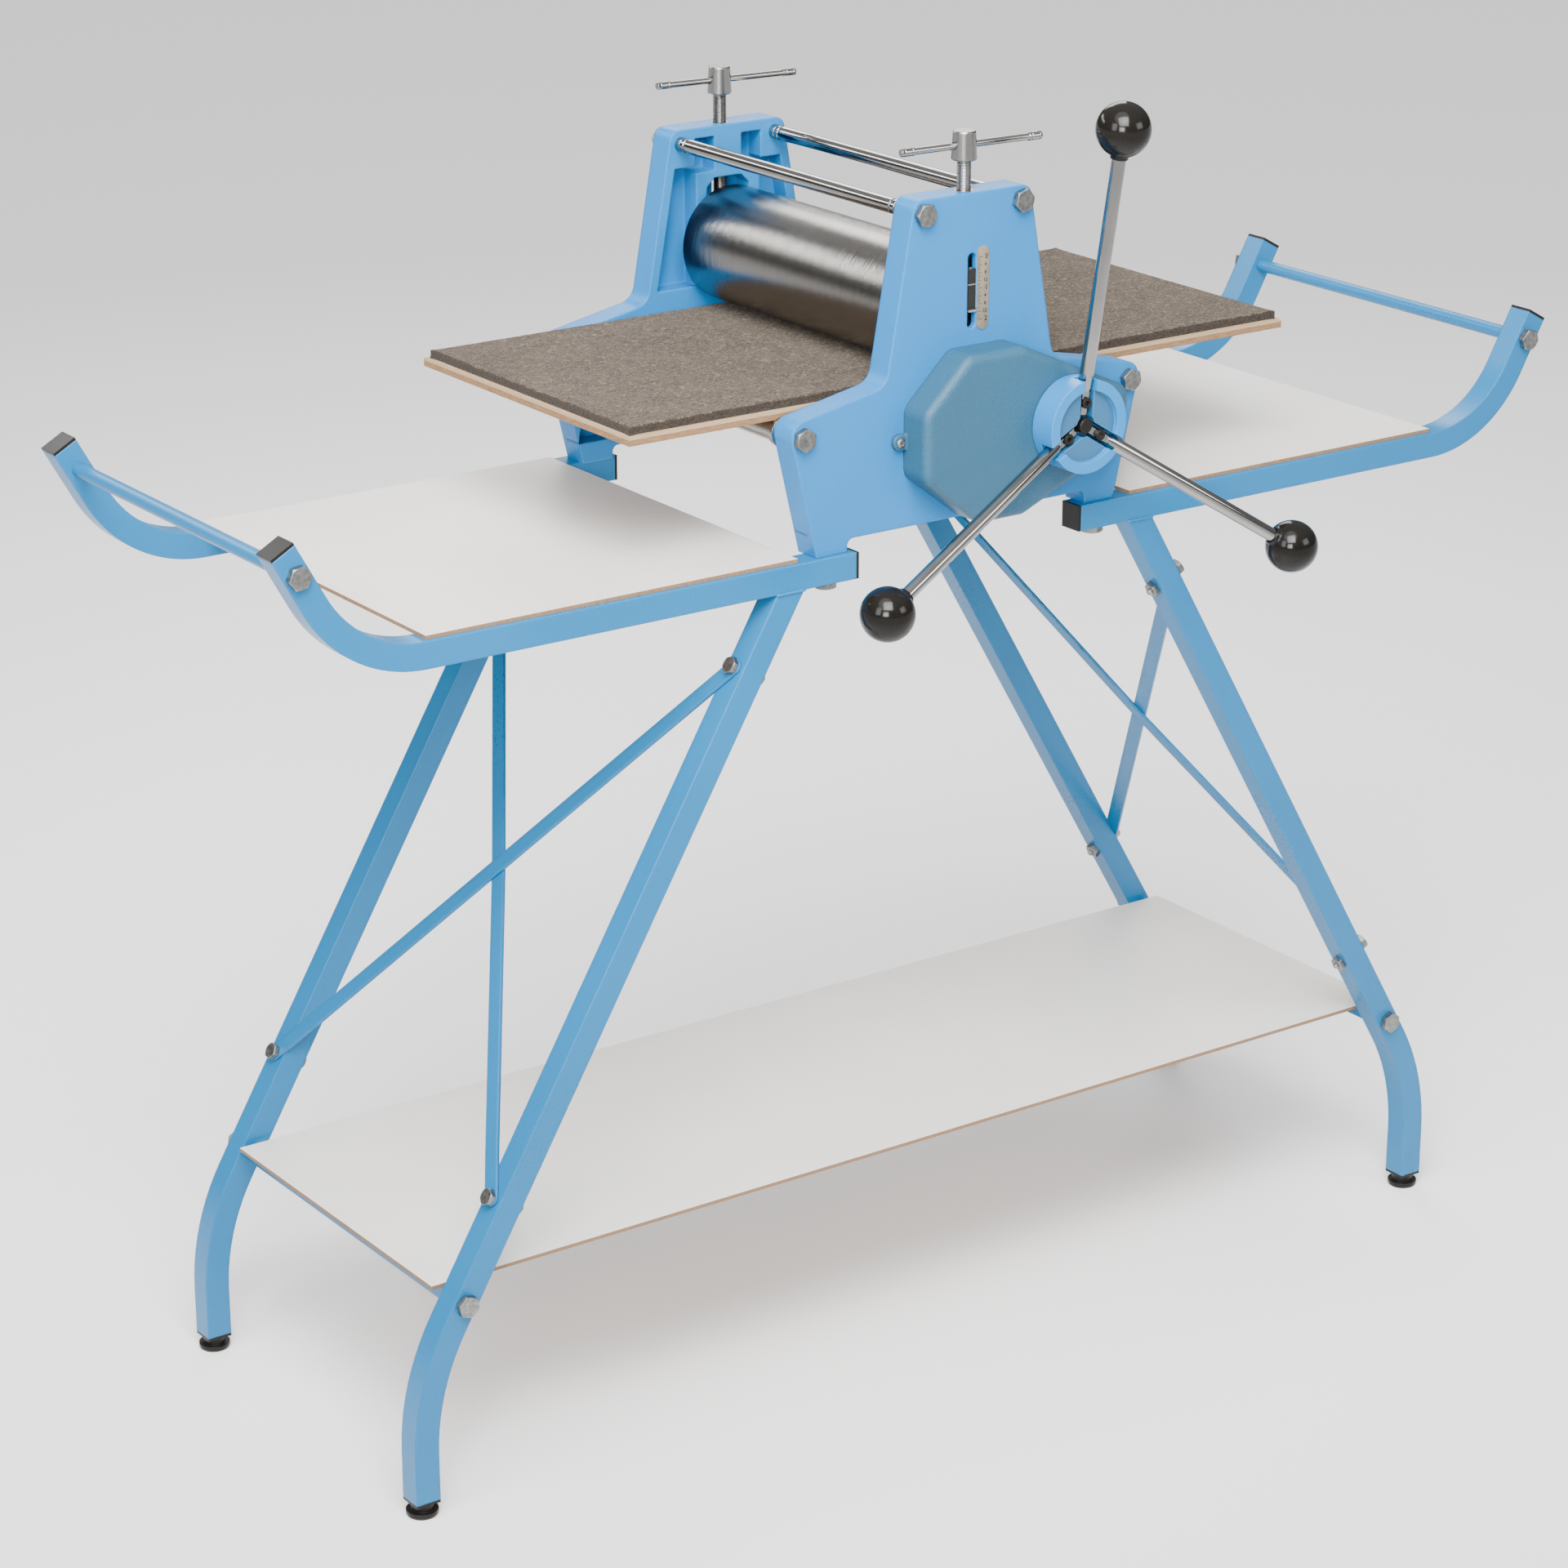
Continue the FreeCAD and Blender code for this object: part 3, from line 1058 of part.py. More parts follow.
def screw_rod(radius, length, out, turn):
    """A cylinder along +Y at an arm screw's place; out is its front end's distance."""
    obj = DOC.addObject("Part::Cylinder", "ScrewRod")
    bind(obj, Radius=radius, Height=length)
    place(obj, ("%s + arm_screw_at * sin(%s * 1deg)" % (CRANK_X, turn),
                "-%s + (%s)" % (ARM_Y, out),
                "%s + arm_screw_at * cos(%s * 1deg)" % (CRANK_Z, turn)), AXIS_TURN["Y"])
    return obj


def arm_screw(turn):
    seat = "-arm_flat - arm_flat_reach * 0.06"
    head = screw_rod("arm_screw_head", "arm_screw_high", seat + " - arm_screw_high", turn)
    return fuse(head, screw_rod("arm_screw", "arm_screw_reach", seat, turn))


def knob(turn):
    """Ball knob with a short collar, bored for the arm's end."""
    lean = arm_lean()
    ball = DOC.addObject("Part::Sphere", "Ball")
    bind(ball, Radius="knob_radius")
    crank_local(ball, "arm_reach", "arm_splay", turn, lean)
    neck = DOC.addObject("Part::Cylinder", "Neck")
    bind(neck, Radius="knob_neck", Height="knob_radius")
    inner = "(arm_reach - knob_radius - 1.5)"
    crank_local(neck, inner, inner + " * arm_splay / arm_reach", turn, lean)
    bore = DOC.addObject("Part::Cylinder", "Bore")
    bind(bore, Radius="arm_radius + knob_gap", Height="knob_depth + 10 + knob_gap")
    low = "(arm_reach - knob_radius - 10)"
    crank_local(bore, low, low + " * arm_splay / arm_reach", turn, lean)
    return cut(fuse(ball, neck), bore)


def crank_hub():
    """Cup-shaped hub: a proud rim, a sunk face and three grooves for the arms."""
    blank = rod("Y", "hub_radius", "hub_depth", (CRANK_X, "-" + HUB_FACE, CRANK_Z))
    recess = rod("Y", "hub_radius - hub_rim", "hub_recess",
                 (CRANK_X, "-" + HUB_FACE, CRANK_Z))
    shaft = rod("Y", "crank_shaft", "hub_depth",
                (CRANK_X, "-%s + hub_groove_depth + hub_web" % HUB_FACE, CRANK_Z))
    bolt = rod("Y", "hub_bolt + bolt_gap", "hub_depth * 2",
               (CRANK_X, "-%s - 1" % HUB_FACE, CRANK_Z))
    well = rod("Y", "hub_groove / 2 + 3", "hub_groove_depth",
               (CRANK_X, "-" + HUB_FACE, CRANK_Z))
    tools = [recess, shaft, bolt, well]
    for k in range(int(size("arm_count"))):
        turn = "(arm_turn + %d * 360 / arm_count)" % k
        groove = DOC.addObject("Part::Box", "Groove")
        bind(groove, Length="hub_groove", Width="hub_groove_depth", Height="hub_radius * 2")
        half = "(hub_groove / 2)"
        place(groove, ("%s - %s * cos(%s * 1deg)" % (CRANK_X, half, turn),
                       "-" + HUB_FACE, "%s + %s * sin(%s * 1deg)" % (CRANK_Z, half, turn)))
        groove.Placement.Rotation = FreeCAD.Rotation(
            Vector(0, 1, 0), reading(turn))
        tools.append(groove)
        tools.append(screw_rod("arm_screw + stem_gap", "hub_depth * 0.7", "0", turn))
    return cut(blank, *tools)


def build_crank():
    shaft_end = "(%s - hub_groove_depth - hub_web)" % HUB_FACE
    shaft = cut(
        rod("Y", "crank_shaft", shaft_end + " - shaft_inner_y",
            (CRANK_X, "-" + shaft_end, CRANK_Z)),
        rod("Y", "hub_bolt + stem_gap", "hub_bolt_reach",
            (CRANK_X, "-" + shaft_end, CRANK_Z)))
    part("crank_shaft", shaft)
    part("crank_hub", crank_hub())
    part("gear_cover", gear_cover())
    part("gear_cover_screws", cover_screws())
    part("crank_arms", around_crank(arm))
    part("crank_knobs", around_crank(knob))
    seat = "-%s + hub_groove_depth" % HUB_FACE
    bolt = fuse(
        rod("Y", "hub_bolt_head", "hub_bolt_high",
            (CRANK_X, seat + " - hub_bolt_high", CRANK_Z)),
        rod("Y", "hub_bolt", "hub_web + hub_bolt_reach - 2", (CRANK_X, seat, CRANK_Z)))
    part("hub_screws", group(bolt, around_crank(arm_screw)))


# ---- bed and scale --------------------------------------------------------------------------

def build_bed():
    part("bed_board", box(
        ("bed_shift - bed_length / 2", "-bed_width / 2", "bed_top - bed_thick"),
        ("bed_length", "bed_width", "bed_thick")))
    owner = body("Felt")
    drawing = sketch(owner, "XY_Plane", "bed_top")
    half_x, half_y = "felt_length / 2", "felt_width / 2"
    outline = [("bed_shift - " + half_x, "-" + half_y), ("bed_shift + " + half_x, "-" + half_y),
               ("bed_shift + " + half_x, half_y), ("bed_shift - " + half_x, half_y)]
    polygon(drawing, outline)
    base = pad(owner, drawing, "felt_thick")
    DOC.recompute()
    corners = [Vector(reading(x), reading(y), 0)
               for x, y in outline]
    fillet(owner, base, edges_at(base.Shape, corners, Vector(0, 0, 1)), "felt_round")
    part("felt_blanket", owner)


def build_scale():
    """Two-inch scale plate with round ends, fixed beside the slot of the front frame."""
    start = "-%s - scale_thick" % FRAME_FACE
    low, high = "scale_low_z + scale_half", "scale_high_z - scale_half"
    part("scale_plate", fuse(
        box(("scale_x - scale_half", start, low),
            ("2 * scale_half", "scale_thick", "(%s) - (%s)" % (high, low))),
        rod("Y", "scale_half", "scale_thick", ("scale_x", start, low)),
        rod("Y", "scale_half", "scale_thick", ("scale_x", start, high))))


def failures():
    """Objects that the last recompute left broken, and sub-parts with a bad shape."""
    bad = [obj.Name for obj in DOC.Objects
           if "Invalid" in obj.State or "Error" in obj.State]
    for obj in PARTS:
        if obj.Shape.isNull() or not obj.Shape.isValid() or not obj.Shape.Solids:
            bad.append(obj.Label)
    return bad


def main():
    build_stand()
    build_frames()
    build_ties()
    build_rollers()
    build_screws()
    build_gears()
    build_crank()
    build_bed()
    build_scale()
    DOC.recompute()
    bad = failures()
    if bad:
        raise RuntimeError("failed: " + ", ".join(bad))
    os.makedirs("parts", exist_ok=True)
    for obj in PARTS:
        obj.Shape.exportStep("parts/%s.step" % obj.Label)
    print(len(PARTS), "sub-parts")


main()
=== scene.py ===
import math

import bmesh
import bpy
from mathutils import Matrix, Vector, noise


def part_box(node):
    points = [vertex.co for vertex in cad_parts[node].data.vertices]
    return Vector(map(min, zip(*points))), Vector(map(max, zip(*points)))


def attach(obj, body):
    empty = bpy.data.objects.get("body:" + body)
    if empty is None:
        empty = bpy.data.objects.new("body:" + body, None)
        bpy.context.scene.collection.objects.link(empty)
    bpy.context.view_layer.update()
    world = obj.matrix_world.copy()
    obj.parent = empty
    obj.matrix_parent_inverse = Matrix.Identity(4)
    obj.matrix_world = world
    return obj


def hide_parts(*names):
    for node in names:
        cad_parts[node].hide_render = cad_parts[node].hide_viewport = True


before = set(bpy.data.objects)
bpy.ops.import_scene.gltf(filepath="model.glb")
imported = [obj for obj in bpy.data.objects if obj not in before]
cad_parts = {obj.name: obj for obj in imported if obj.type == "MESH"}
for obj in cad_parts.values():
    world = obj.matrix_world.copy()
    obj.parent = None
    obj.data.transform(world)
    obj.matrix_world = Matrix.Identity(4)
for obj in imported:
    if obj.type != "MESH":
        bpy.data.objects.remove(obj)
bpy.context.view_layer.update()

MM = 0.001
X, Y, Z = Vector((1, 0, 0)), Vector((0, 1, 0)), Vector((0, 0, 1))


# ---- shader maths -------------------------------------------------------------------------

class Value:
    """A shader output; arithmetic on it adds Math nodes."""

    def __init__(self, finish, socket):
        self.finish, self.socket = finish, socket

    def maths(self, operation, *inputs):
        return self.finish.node("Math", {"operation": operation}, dict(enumerate(inputs)))

    def __add__(self, other):
        return self.maths("ADD", self, other)

    def __radd__(self, other):
        return self.maths("ADD", other, self)

    def __sub__(self, other):
        return self.maths("SUBTRACT", self, other)

    def __rsub__(self, other):
        return self.maths("SUBTRACT", other, self)

    def __mul__(self, other):
        return self.maths("MULTIPLY", self, other)

    def __rmul__(self, other):
        return self.maths("MULTIPLY", other, self)

    def __gt__(self, other):
        return self.maths("GREATER_THAN", self, other)

    def __lt__(self, other):
        return self.maths("LESS_THAN", self, other)

    def __abs__(self):
        return self.maths("ABSOLUTE", self)

    def __pow__(self, other):
        return self.maths("POWER", self, other)

    def most(self, other):
        return self.maths("MAXIMUM", self, other)

    def least(self, other):
        return self.maths("MINIMUM", self, other)

    def ramp(self, *stops):
        """Stops are a position and a grey, or a position and a colour."""
        return self.finish.node("ValToRGB", {"stops": stops}, {"Fac": self})


class Finish:
    """A material with a Principled shader, patterned on Object coordinates."""

    def __init__(self, name, **shader):
        self.material = bpy.data.materials.new(name)
        self.material.use_nodes = True
        self.tree = self.material.node_tree
        self.tree.nodes.clear()
        self.shader = self.tree.nodes.new("ShaderNodeBsdfPrincipled")
        output = self.tree.nodes.new("ShaderNodeOutputMaterial")
        self.tree.links.new(self.shader.outputs[0], output.inputs["Surface"])
        for key, value in shader.items():
            self.feed(self.shader.inputs[key.replace("_", " ")], value)
        self.here = self.node("TexCoord", {}, {}, "Object")

    def feed(self, socket, value):
        if isinstance(value, Value):
            self.tree.links.new(value.socket, socket)
        elif socket.type == "RGBA" and len(value) == 3:
            socket.default_value = (*value, 1)
        else:
            socket.default_value = value

    def node(self, kind, settings, inputs, output=0):
        made = self.tree.nodes.new("ShaderNode" + kind)
        for key, value in settings.items():
            if key == "stops":
                stops = made.color_ramp.elements
                while len(stops) < len(value):
                    stops.new(0.5)
                for stop, (at, colour) in zip(stops, value):
                    stop.position = at
                    grey = isinstance(colour, (int, float))
                    stop.color = (colour,) * 3 + (1,) if grey else (*colour, 1)
            else:
                setattr(made, key, value)
        for key, value in inputs.items():
            self.feed(made.inputs[key], value)
        return Value(self, made.outputs[output])

    def paint(self, **shader):
        for key, value in shader.items():
            self.feed(self.shader.inputs[key.replace("_", " ")], value)
        return self.material

    def stretched(self, scale, turn=(0, 0, 0)):
        return self.node("Mapping", {}, {"Vector": self.here, "Scale": scale, "Rotation": turn})

    def cloud(self, scale, detail=3.0, roughness=0.5, vector=None):
        """Noise from about 0.25 to 0.75 at that many features a metre."""
        return self.node("TexNoise", {}, {
            "Vector": vector or self.here, "Scale": scale, "Detail": detail,
            "Roughness": roughness})

    def cells(self, scale, vector=None, output="Distance"):
        return self.node("TexVoronoi", {}, {"Vector": vector or self.here, "Scale": scale},
                         output)

    def mix(self, factor, first, second, blend="MIX"):
        return self.node("Mix", {"data_type": "RGBA", "blend_type": blend},
                         {0: factor, 6: first, 7: second}, 2)

    def axis(self, letter):
        return self.node("SeparateXYZ", {}, {0: self.here}, letter)

    def facing(self, letter):
        normal = self.node("NewGeometry", {}, {}, "Normal")
        return self.node("SeparateXYZ", {}, {0: normal}, letter)

    def soft_edges(self, radius):
        return self.node("Bevel", {"samples": 6}, {"Radius": radius})

    def worn(self, radius):
        """1 on a sharp outer or inner edge of that reach, 0 on a flat."""
        normal = self.node("NewGeometry", {}, {}, "Normal")
        soft = self.soft_edges(radius)
        return 1 - self.node("VectorMath", {"operation": "DOT_PRODUCT"},
                             {0: soft, 1: normal}, "Value")

    def relief(self, height, depth, edges=0.0, strength=1.0):
        """Bump of a depth in metres, over edges rounded to a radius."""
        inputs = {"Height": height, "Strength": strength, "Distance": depth}
        if edges:
            inputs["Normal"] = self.soft_edges(edges)
        return self.node("Bump", {}, inputs)


def enamel(name, colour, dark, edges, grain, grain_depth, rough=0.36):
    """Stove enamel: an even colour, a faint orange peel, thinner and paler on its edges."""
    f = Finish(name, Specular_IOR_Level=0.32, IOR=1.5)
    drift = f.cloud(6, 2)
    speck = f.cloud(grain, 4, 0.55)
    tone = f.mix(drift.ramp((0.35, 0.0), (0.65, 1.0)), dark, colour)
    edge = (f.worn(edges * 1.3) * 6.0).least(1.0)
    pale = tuple(min(1.0, c * 1.25 + 0.015) for c in colour)
    tone = f.mix(edge * 0.4, tone, pale)
    dust = f.cloud(900, 2).ramp((0.70, 0.0), (0.78, 1.0))
    tone = f.mix(dust * 0.25, tone, tuple(c * 0.6 for c in colour))
    return f.paint(
        Base_Color=tone, Roughness=rough + (drift - 0.5) * 0.12 + (speck - 0.5) * 0.10,
        Normal=f.relief(speck, grain_depth, edges))


def turned_steel(name, colour, marks, rough, axis="Y", depth=0.00002, edges=0.0005):
    """Bare steel off the lathe: fine rings along one axis, with a few deeper scores."""
    along = {"X": (marks, 6, 6), "Y": (6, marks, 6), "Z": (6, 6, marks)}[axis]
    f = Finish(name, Metallic=1.0)
    rings = f.cloud(1.0, 5, 0.62, f.stretched(along))
    scores = f.cloud(1.0, 2, 0.5, f.stretched(tuple(v * 0.23 for v in along)))
    bands = scores.ramp((0.42, 0.0), (0.58, 1.0))
    smear = f.cloud(14, 2)
    tone = f.mix(rings, tuple(c * 0.72 for c in colour), colour)
    tone = f.mix(bands * 0.35, tone, tuple(c * 0.82 for c in colour))
    return f.paint(
        Base_Color=tone,
        Roughness=rough + (rings - 0.5) * 0.16 + (smear - 0.5) * 0.04,
        Normal=f.relief(rings + bands * 0.4, depth, edges))


def plated(name, colour, rough, scratch=0.5):
    """Bright plated steel with hairline scratches and faint smears."""
    f = Finish(name, Metallic=1.0)
    hair = f.cloud(1.0, 4, 0.6, f.stretched((900, 900, 60), (0.3, 0.2, 0.5)))
    smear = f.cloud(30, 3)
    tone = f.mix(smear.ramp((0.3, 0.0), (0.7, 1.0)), tuple(c * 0.86 for c in colour), colour)
    return f.paint(
        Base_Color=tone, Roughness=rough + (smear - 0.5) * 0.12 + (hair - 0.5) * 0.14,
        Normal=f.relief(hair, 0.000012 * scratch, 0.0004))


def zinc(name):
    """Dull zinc plate: cloudy, with pale edges."""
    f = Finish(name, Metallic=1.0)
    cloud = f.cloud(260, 4, 0.6)
    spangle = f.cells(420)
    tone = f.mix(cloud.ramp((0.3, 0.0), (0.7, 1.0)), (0.15, 0.150, 0.145), (0.32, 0.318, 0.305))
    edge = (f.worn(0.0008) * 5.0).least(1.0)
    tone = f.mix(edge * 0.6, tone, (0.55, 0.55, 0.53))
    return f.paint(Base_Color=tone, Roughness=0.30 + cloud * 0.22,
                   Normal=f.relief(cloud + spangle * 0.2, 0.00006, 0.0005))


def black_moulding(name, rough):
    """Black moulding with a faint ripple, fine dust and paler rubbed edges."""
    f = Finish(name, Specular_IOR_Level=0.22)
    dust = f.cloud(1400, 2).ramp((0.64, 0.0), (0.76, 1.0))
    ripple = f.cloud(60, 2)
    edge = (f.worn(0.0009) * 4.0).least(1.0)
    tone = f.mix(dust * 0.5, (0.007, 0.006, 0.005), (0.030, 0.028, 0.026))
    tone = f.mix(edge * 0.5, tone, (0.03, 0.03, 0.032))
    return f.paint(Base_Color=tone, Roughness=rough + dust * 0.12 + (ripple - 0.5) * 0.06,
                   Normal=f.relief(ripple, 0.00012, 0.0009))


def faced_board(name):
    """Hardboard with an off-white sealed face, and bare brown fibre below and at its edges."""
    f = Finish(name, Specular_IOR_Level=0.45)
    up = f.facing("Z")
    face = (up > 0.5)
    fibre = f.cloud(1.0, 5, 0.65, f.stretched((900, 900, 2600)))
    mesh = f.cells(700)
    brown = f.mix(fibre.ramp((0.32, 0.0), (0.68, 1.0)), (0.13, 0.070, 0.034),
                  (0.33, 0.20, 0.11))
    smudge = f.cloud(5, 4, 0.6)
    fine = f.cloud(500, 3)
    white = f.mix(smudge.ramp((0.35, 0.0), (0.7, 1.0)), (0.680, 0.655, 0.622),
                  (0.735, 0.712, 0.684))
    white = f.mix(fine.ramp((0.66, 0.0), (0.76, 1.0)) * 0.3, white, (0.50, 0.48, 0.45))
    return f.paint(
        Base_Color=f.mix(face, brown, white),
        Roughness=face * (0.34 + smudge * 0.14) + (1 - face) * 0.85,
        Normal=f.relief(face * fine * 0.25 + (1 - face) * (fibre + mesh * 0.4), 0.00015,
                        0.0004))


def bed_panel(name, low, high):
    """Dense panel in two layers: a brown core and a paler top layer, sawn at its edges."""
    f = Finish(name, Specular_IOR_Level=0.35)
    level = (f.axis("Z") - low) * (1.0 / (high - low))
    side = 1 - (abs(f.facing("Z")) > 0.5)
    grain = f.cloud(1.0, 5, 0.62, f.stretched((110, 110, 1500)))
    chips = f.cells(420, f.stretched((1, 1, 2.2)))
    core = f.mix(grain.ramp((0.3, 0.0), (0.7, 1.0)), (0.130, 0.066, 0.028),
                 (0.310, 0.180, 0.090))
    core = f.mix(chips.ramp((0.0, 1.0), (0.22, 0.0)) * 0.5, core, (0.07, 0.036, 0.016))
    top = f.mix(grain, (0.28, 0.185, 0.098), (0.46, 0.335, 0.205))
    seam = 1 - ((abs(level - 0.66) * 18.0).least(1.0))
    tone = f.mix(level > 0.66, core, top)
    tone = f.mix(seam * 0.7 * side, tone, (0.10, 0.055, 0.03))
    return f.paint(Base_Color=tone, Roughness=0.62 + grain * 0.2,
                   Normal=f.relief(grain + chips * 0.3 - seam * side * 0.6, 0.0003, 0.0006))


def felted(name):
    """Pressed wool felt: matted fibres in browns and greys, pale flecks, a darker cut edge."""
    f = Finish(name, Specular_IOR_Level=0.15, Sheen_Weight=0.06, Sheen_Roughness=0.6)
    wander = f.node("VectorMath", {"operation": "SCALE"},
                    {0: f.node("TexNoise", {}, {"Vector": f.here, "Scale": 260.0,
                                                "Detail": 2.0}, "Color"), "Scale": 0.010})
    bent = f.node("VectorMath", {"operation": "ADD"}, {0: f.here, 1: wander})
    fibres = [f.cloud(1.0, 2, 0.5, f.node("Mapping", {}, {
        "Vector": bent, "Scale": scale, "Rotation": (0, 0, turn)}))
        for scale, turn in (((150, 620, 300), 0.5), ((620, 170, 300), 0.9),
                            ((170, 700, 300), 2.3))]
    matted = fibres[0].most(fibres[1]).most(fibres[2])
    pits = fibres[0].least(fibres[1]).least(fibres[2])
    tuft = f.cloud(430, 3, 0.6)
    patch = f.cloud(28, 3)
    tone = f.mix(tuft.ramp((0.38, 0.0), (0.64, 1.0)), (0.011, 0.0072, 0.0042),
                 (0.084, 0.058, 0.034))
    tone = f.mix(matted.ramp((0.60, 0.0), (0.70, 1.0)) * 0.75, tone, (0.23, 0.170, 0.110))
    tone = f.mix(pits.ramp((0.30, 1.0), (0.40, 0.0)) * 0.9, tone, (0.012, 0.009, 0.007))
    tone = f.mix(patch.ramp((0.35, 0.0), (0.65, 1.0)) * 0.12, tone, (0.17, 0.13, 0.095))
    side = 1 - (abs(f.facing("Z")) > 0.45)
    streak = f.cloud(1.0, 4, 0.6, f.stretched((500, 500, 1700)))
    edge = f.mix(streak.ramp((0.35, 0.0), (0.70, 1.0)), (0.008, 0.006, 0.005),
                 (0.050, 0.038, 0.029))
    tone = f.mix(side * 0.9, tone, edge)
    return f.paint(Base_Color=tone, Roughness=0.93 + (tuft - 0.5) * 0.1,
                   Normal=f.relief(matted * 0.8 + tuft * 0.6 + pits * 0.5, 0.0012))


def beige_strip(name):
    """Satin beige strip, lightly soiled, on which the marks are printed."""
    f = Finish(name, Metallic=0.25)
    soil = f.cloud(160, 4, 0.6)
    tone = f.mix(soil.ramp((0.3, 0.0), (0.7, 1.0)), (0.175, 0.150, 0.105), (0.240, 0.210, 0.155))
    return f.paint(Base_Color=tone, Roughness=0.42 + (soil - 0.5) * 0.2,
                   Normal=f.relief(soil, 0.00003, 0.0002))


def pointer_finish(name, low, high):
    """Blacked steel, bright at the filed lip below and along a scribed line above it."""
    f = Finish(name, Specular_IOR_Level=0.3)
    level = (f.axis("Z") - low.z) * (1.0 / (high.z - low.z))
    scratch = f.cloud(900, 3)
    bright = ((level < 0.055) + (abs(level - 0.64) < 0.012)).least(1.0)
    tone = f.mix(scratch, (0.006, 0.006, 0.006), (0.018, 0.017, 0.016))
    tone = f.mix(bright, tone, (0.55, 0.55, 0.54))
    return f.paint(Base_Color=tone, Metallic=bright, Roughness=0.3 + scratch * 0.15,
                   Normal=f.relief(scratch, 0.00002, 0.0005))


def hub_enamel(name, centre, split):
    """Hub enamel: bright blue on the rim, with paler edges; the sunk face inside the rim is
    painted a darker grey-blue, which is painted shade for the depth of the recess.
    """
    f = Finish(name, Specular_IOR_Level=0.5)
    across = (f.axis("X") - centre.x)
    up = (f.axis("Z") - centre.z)
    reach = (across * across + up * up) ** 0.5
    # painted shade: inside the rim and behind its front, the sunk face and its grooves are
    # painted darker for the depth of the recess
    inner = (reach < split) * (f.axis("Y") > centre.y)
    speck = f.cloud(700, 4, 0.6)
    tone = f.mix(inner, (0.008, 0.176, 0.450), (0.020, 0.105, 0.215))
    edge = (f.worn(0.0012) * 6.0).least(1.0)
    tone = f.mix(edge * 0.35, tone, (0.06, 0.34, 0.80))
    return f.paint(Base_Color=tone, Roughness=0.34 + (speck - 0.5) * 0.16,
                   Normal=f.relief(speck, 0.00012, 0.0012))


BOARD_LOW, BOARD_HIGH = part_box("bed_board")
FELT_LOW, FELT_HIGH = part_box("felt_blanket")
HUB_LOW, HUB_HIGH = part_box("crank_hub")
CRANK = (HUB_LOW + HUB_HIGH) / 2
SKY, SKY_SHADE = (0.006, 0.146, 0.335), (0.005, 0.137, 0.315)
TUBE_PAINT = enamel("tube_enamel", SKY, SKY_SHADE, 0.0022, 420, 0.00006, 0.30)
CAST_PAINT = enamel("casting_enamel", (0.008, 0.166, 0.425), (0.007, 0.157, 0.400),
                    0.0026, 260, 0.00035, 0.42)
COVER_PAINT = enamel("cover_enamel", (0.023, 0.088, 0.150), (0.020, 0.081, 0.138),
                     0.0030, 520, 0.00060, 0.46)
HUB_PAINT = hub_enamel("hub_enamel", Vector((CRANK.x, HUB_LOW.y + 2 * MM, CRANK.z)), 0.0299)
ROLL_STEEL = turned_steel("roller_steel", (0.30, 0.285, 0.265), 1000, 0.22, "Y", 0.00014)
SHAFT_STEEL = turned_steel("shaft_steel", (0.40, 0.392, 0.375), 1600, 0.24)
GEAR_STEEL = turned_steel("gear_steel", (0.42, 0.42, 0.41), 1200, 0.38)
SCREW_STEEL = turned_steel("screw_steel", (0.36, 0.352, 0.335), 2200, 0.24, "Z")
CHROME = plated("bright_plate", (0.33, 0.322, 0.310), 0.10)
ZINC = zinc("zinc_plate")
BRONZE = turned_steel("bronze", (0.60, 0.40, 0.17), 1600, 0.30)
BALL_BLACK = black_moulding("ball_black", 0.13)
CAP_BLACK = black_moulding("cap_black", 0.36)
OXIDE_BLACK = black_moulding("oxide_black", 0.40)
WHITE_BOARD = faced_board("faced_board")
BED_PANEL = bed_panel("bed_panel", BOARD_LOW.z, BOARD_HIGH.z)
SCALE_BEIGE = beige_strip("scale_beige")
POINTER = pointer_finish("pointer_black", *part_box("pressure_pointer"))
PRINT_BLACK = black_moulding("print_black", 0.55)
FELT = felted("felt")

NODE_FINISH = {
    "rail_": TUBE_PAINT, "leg_front": TUBE_PAINT, "leg_back": TUBE_PAINT,
    "handle_bar": TUBE_PAINT, "shelf_crossbar": TUBE_PAINT, "brace_left": TUBE_PAINT,
    "brace_right": TUBE_PAINT, "side_frame": CAST_PAINT, "gear_cover": COVER_PAINT,
    "crank_hub": HUB_PAINT, "tube_end_caps": CAP_BLACK, "leg_plugs": CAP_BLACK,
    "levelling_feet": CAP_BLACK, "shelf_board": WHITE_BOARD, "table_board": WHITE_BOARD,
    "bed_board": BED_PANEL, "upper_tie_rods": CHROME, "lower_tie_rods": SHAFT_STEEL,
    "support_roller": SHAFT_STEEL, "lower_roller": ROLL_STEEL, "upper_roller": ROLL_STEEL,
    "drive_gear": GEAR_STEEL, "pinion_gear": GEAR_STEEL, "crank_shaft": SHAFT_STEEL,
    "crank_arms": CHROME, "crank_knobs": BALL_BLACK, "bearing_block": SHAFT_STEEL,
    "frame_bushes": BRONZE, "upper_bushes": BRONZE, "screw_nut_bushes": BRONZE,
    "pressure_screw": SCREW_STEEL, "tommy_bar": CHROME, "pressure_pointer": POINTER,
    "hub_screws": OXIDE_BLACK, "gear_cover_screws": ZINC, "stand_bolts": ZINC,
    "brace_bolts": ZINC, "brace_nuts": ZINC, "foot_bolts": ZINC, "tie_rod_bolts": ZINC,
    "scale_plate": ZINC, "felt_blanket": FELT,
}
for node_name, node_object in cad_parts.items():
    matches = [key for key in NODE_FINISH if node_name.startswith(key)]
    finish = NODE_FINISH[max(matches, key=len)]
    node_object.data.materials.clear()
    node_object.data.materials.append(finish)


# ---- camera, light and floor ---------------------------------------------------------------

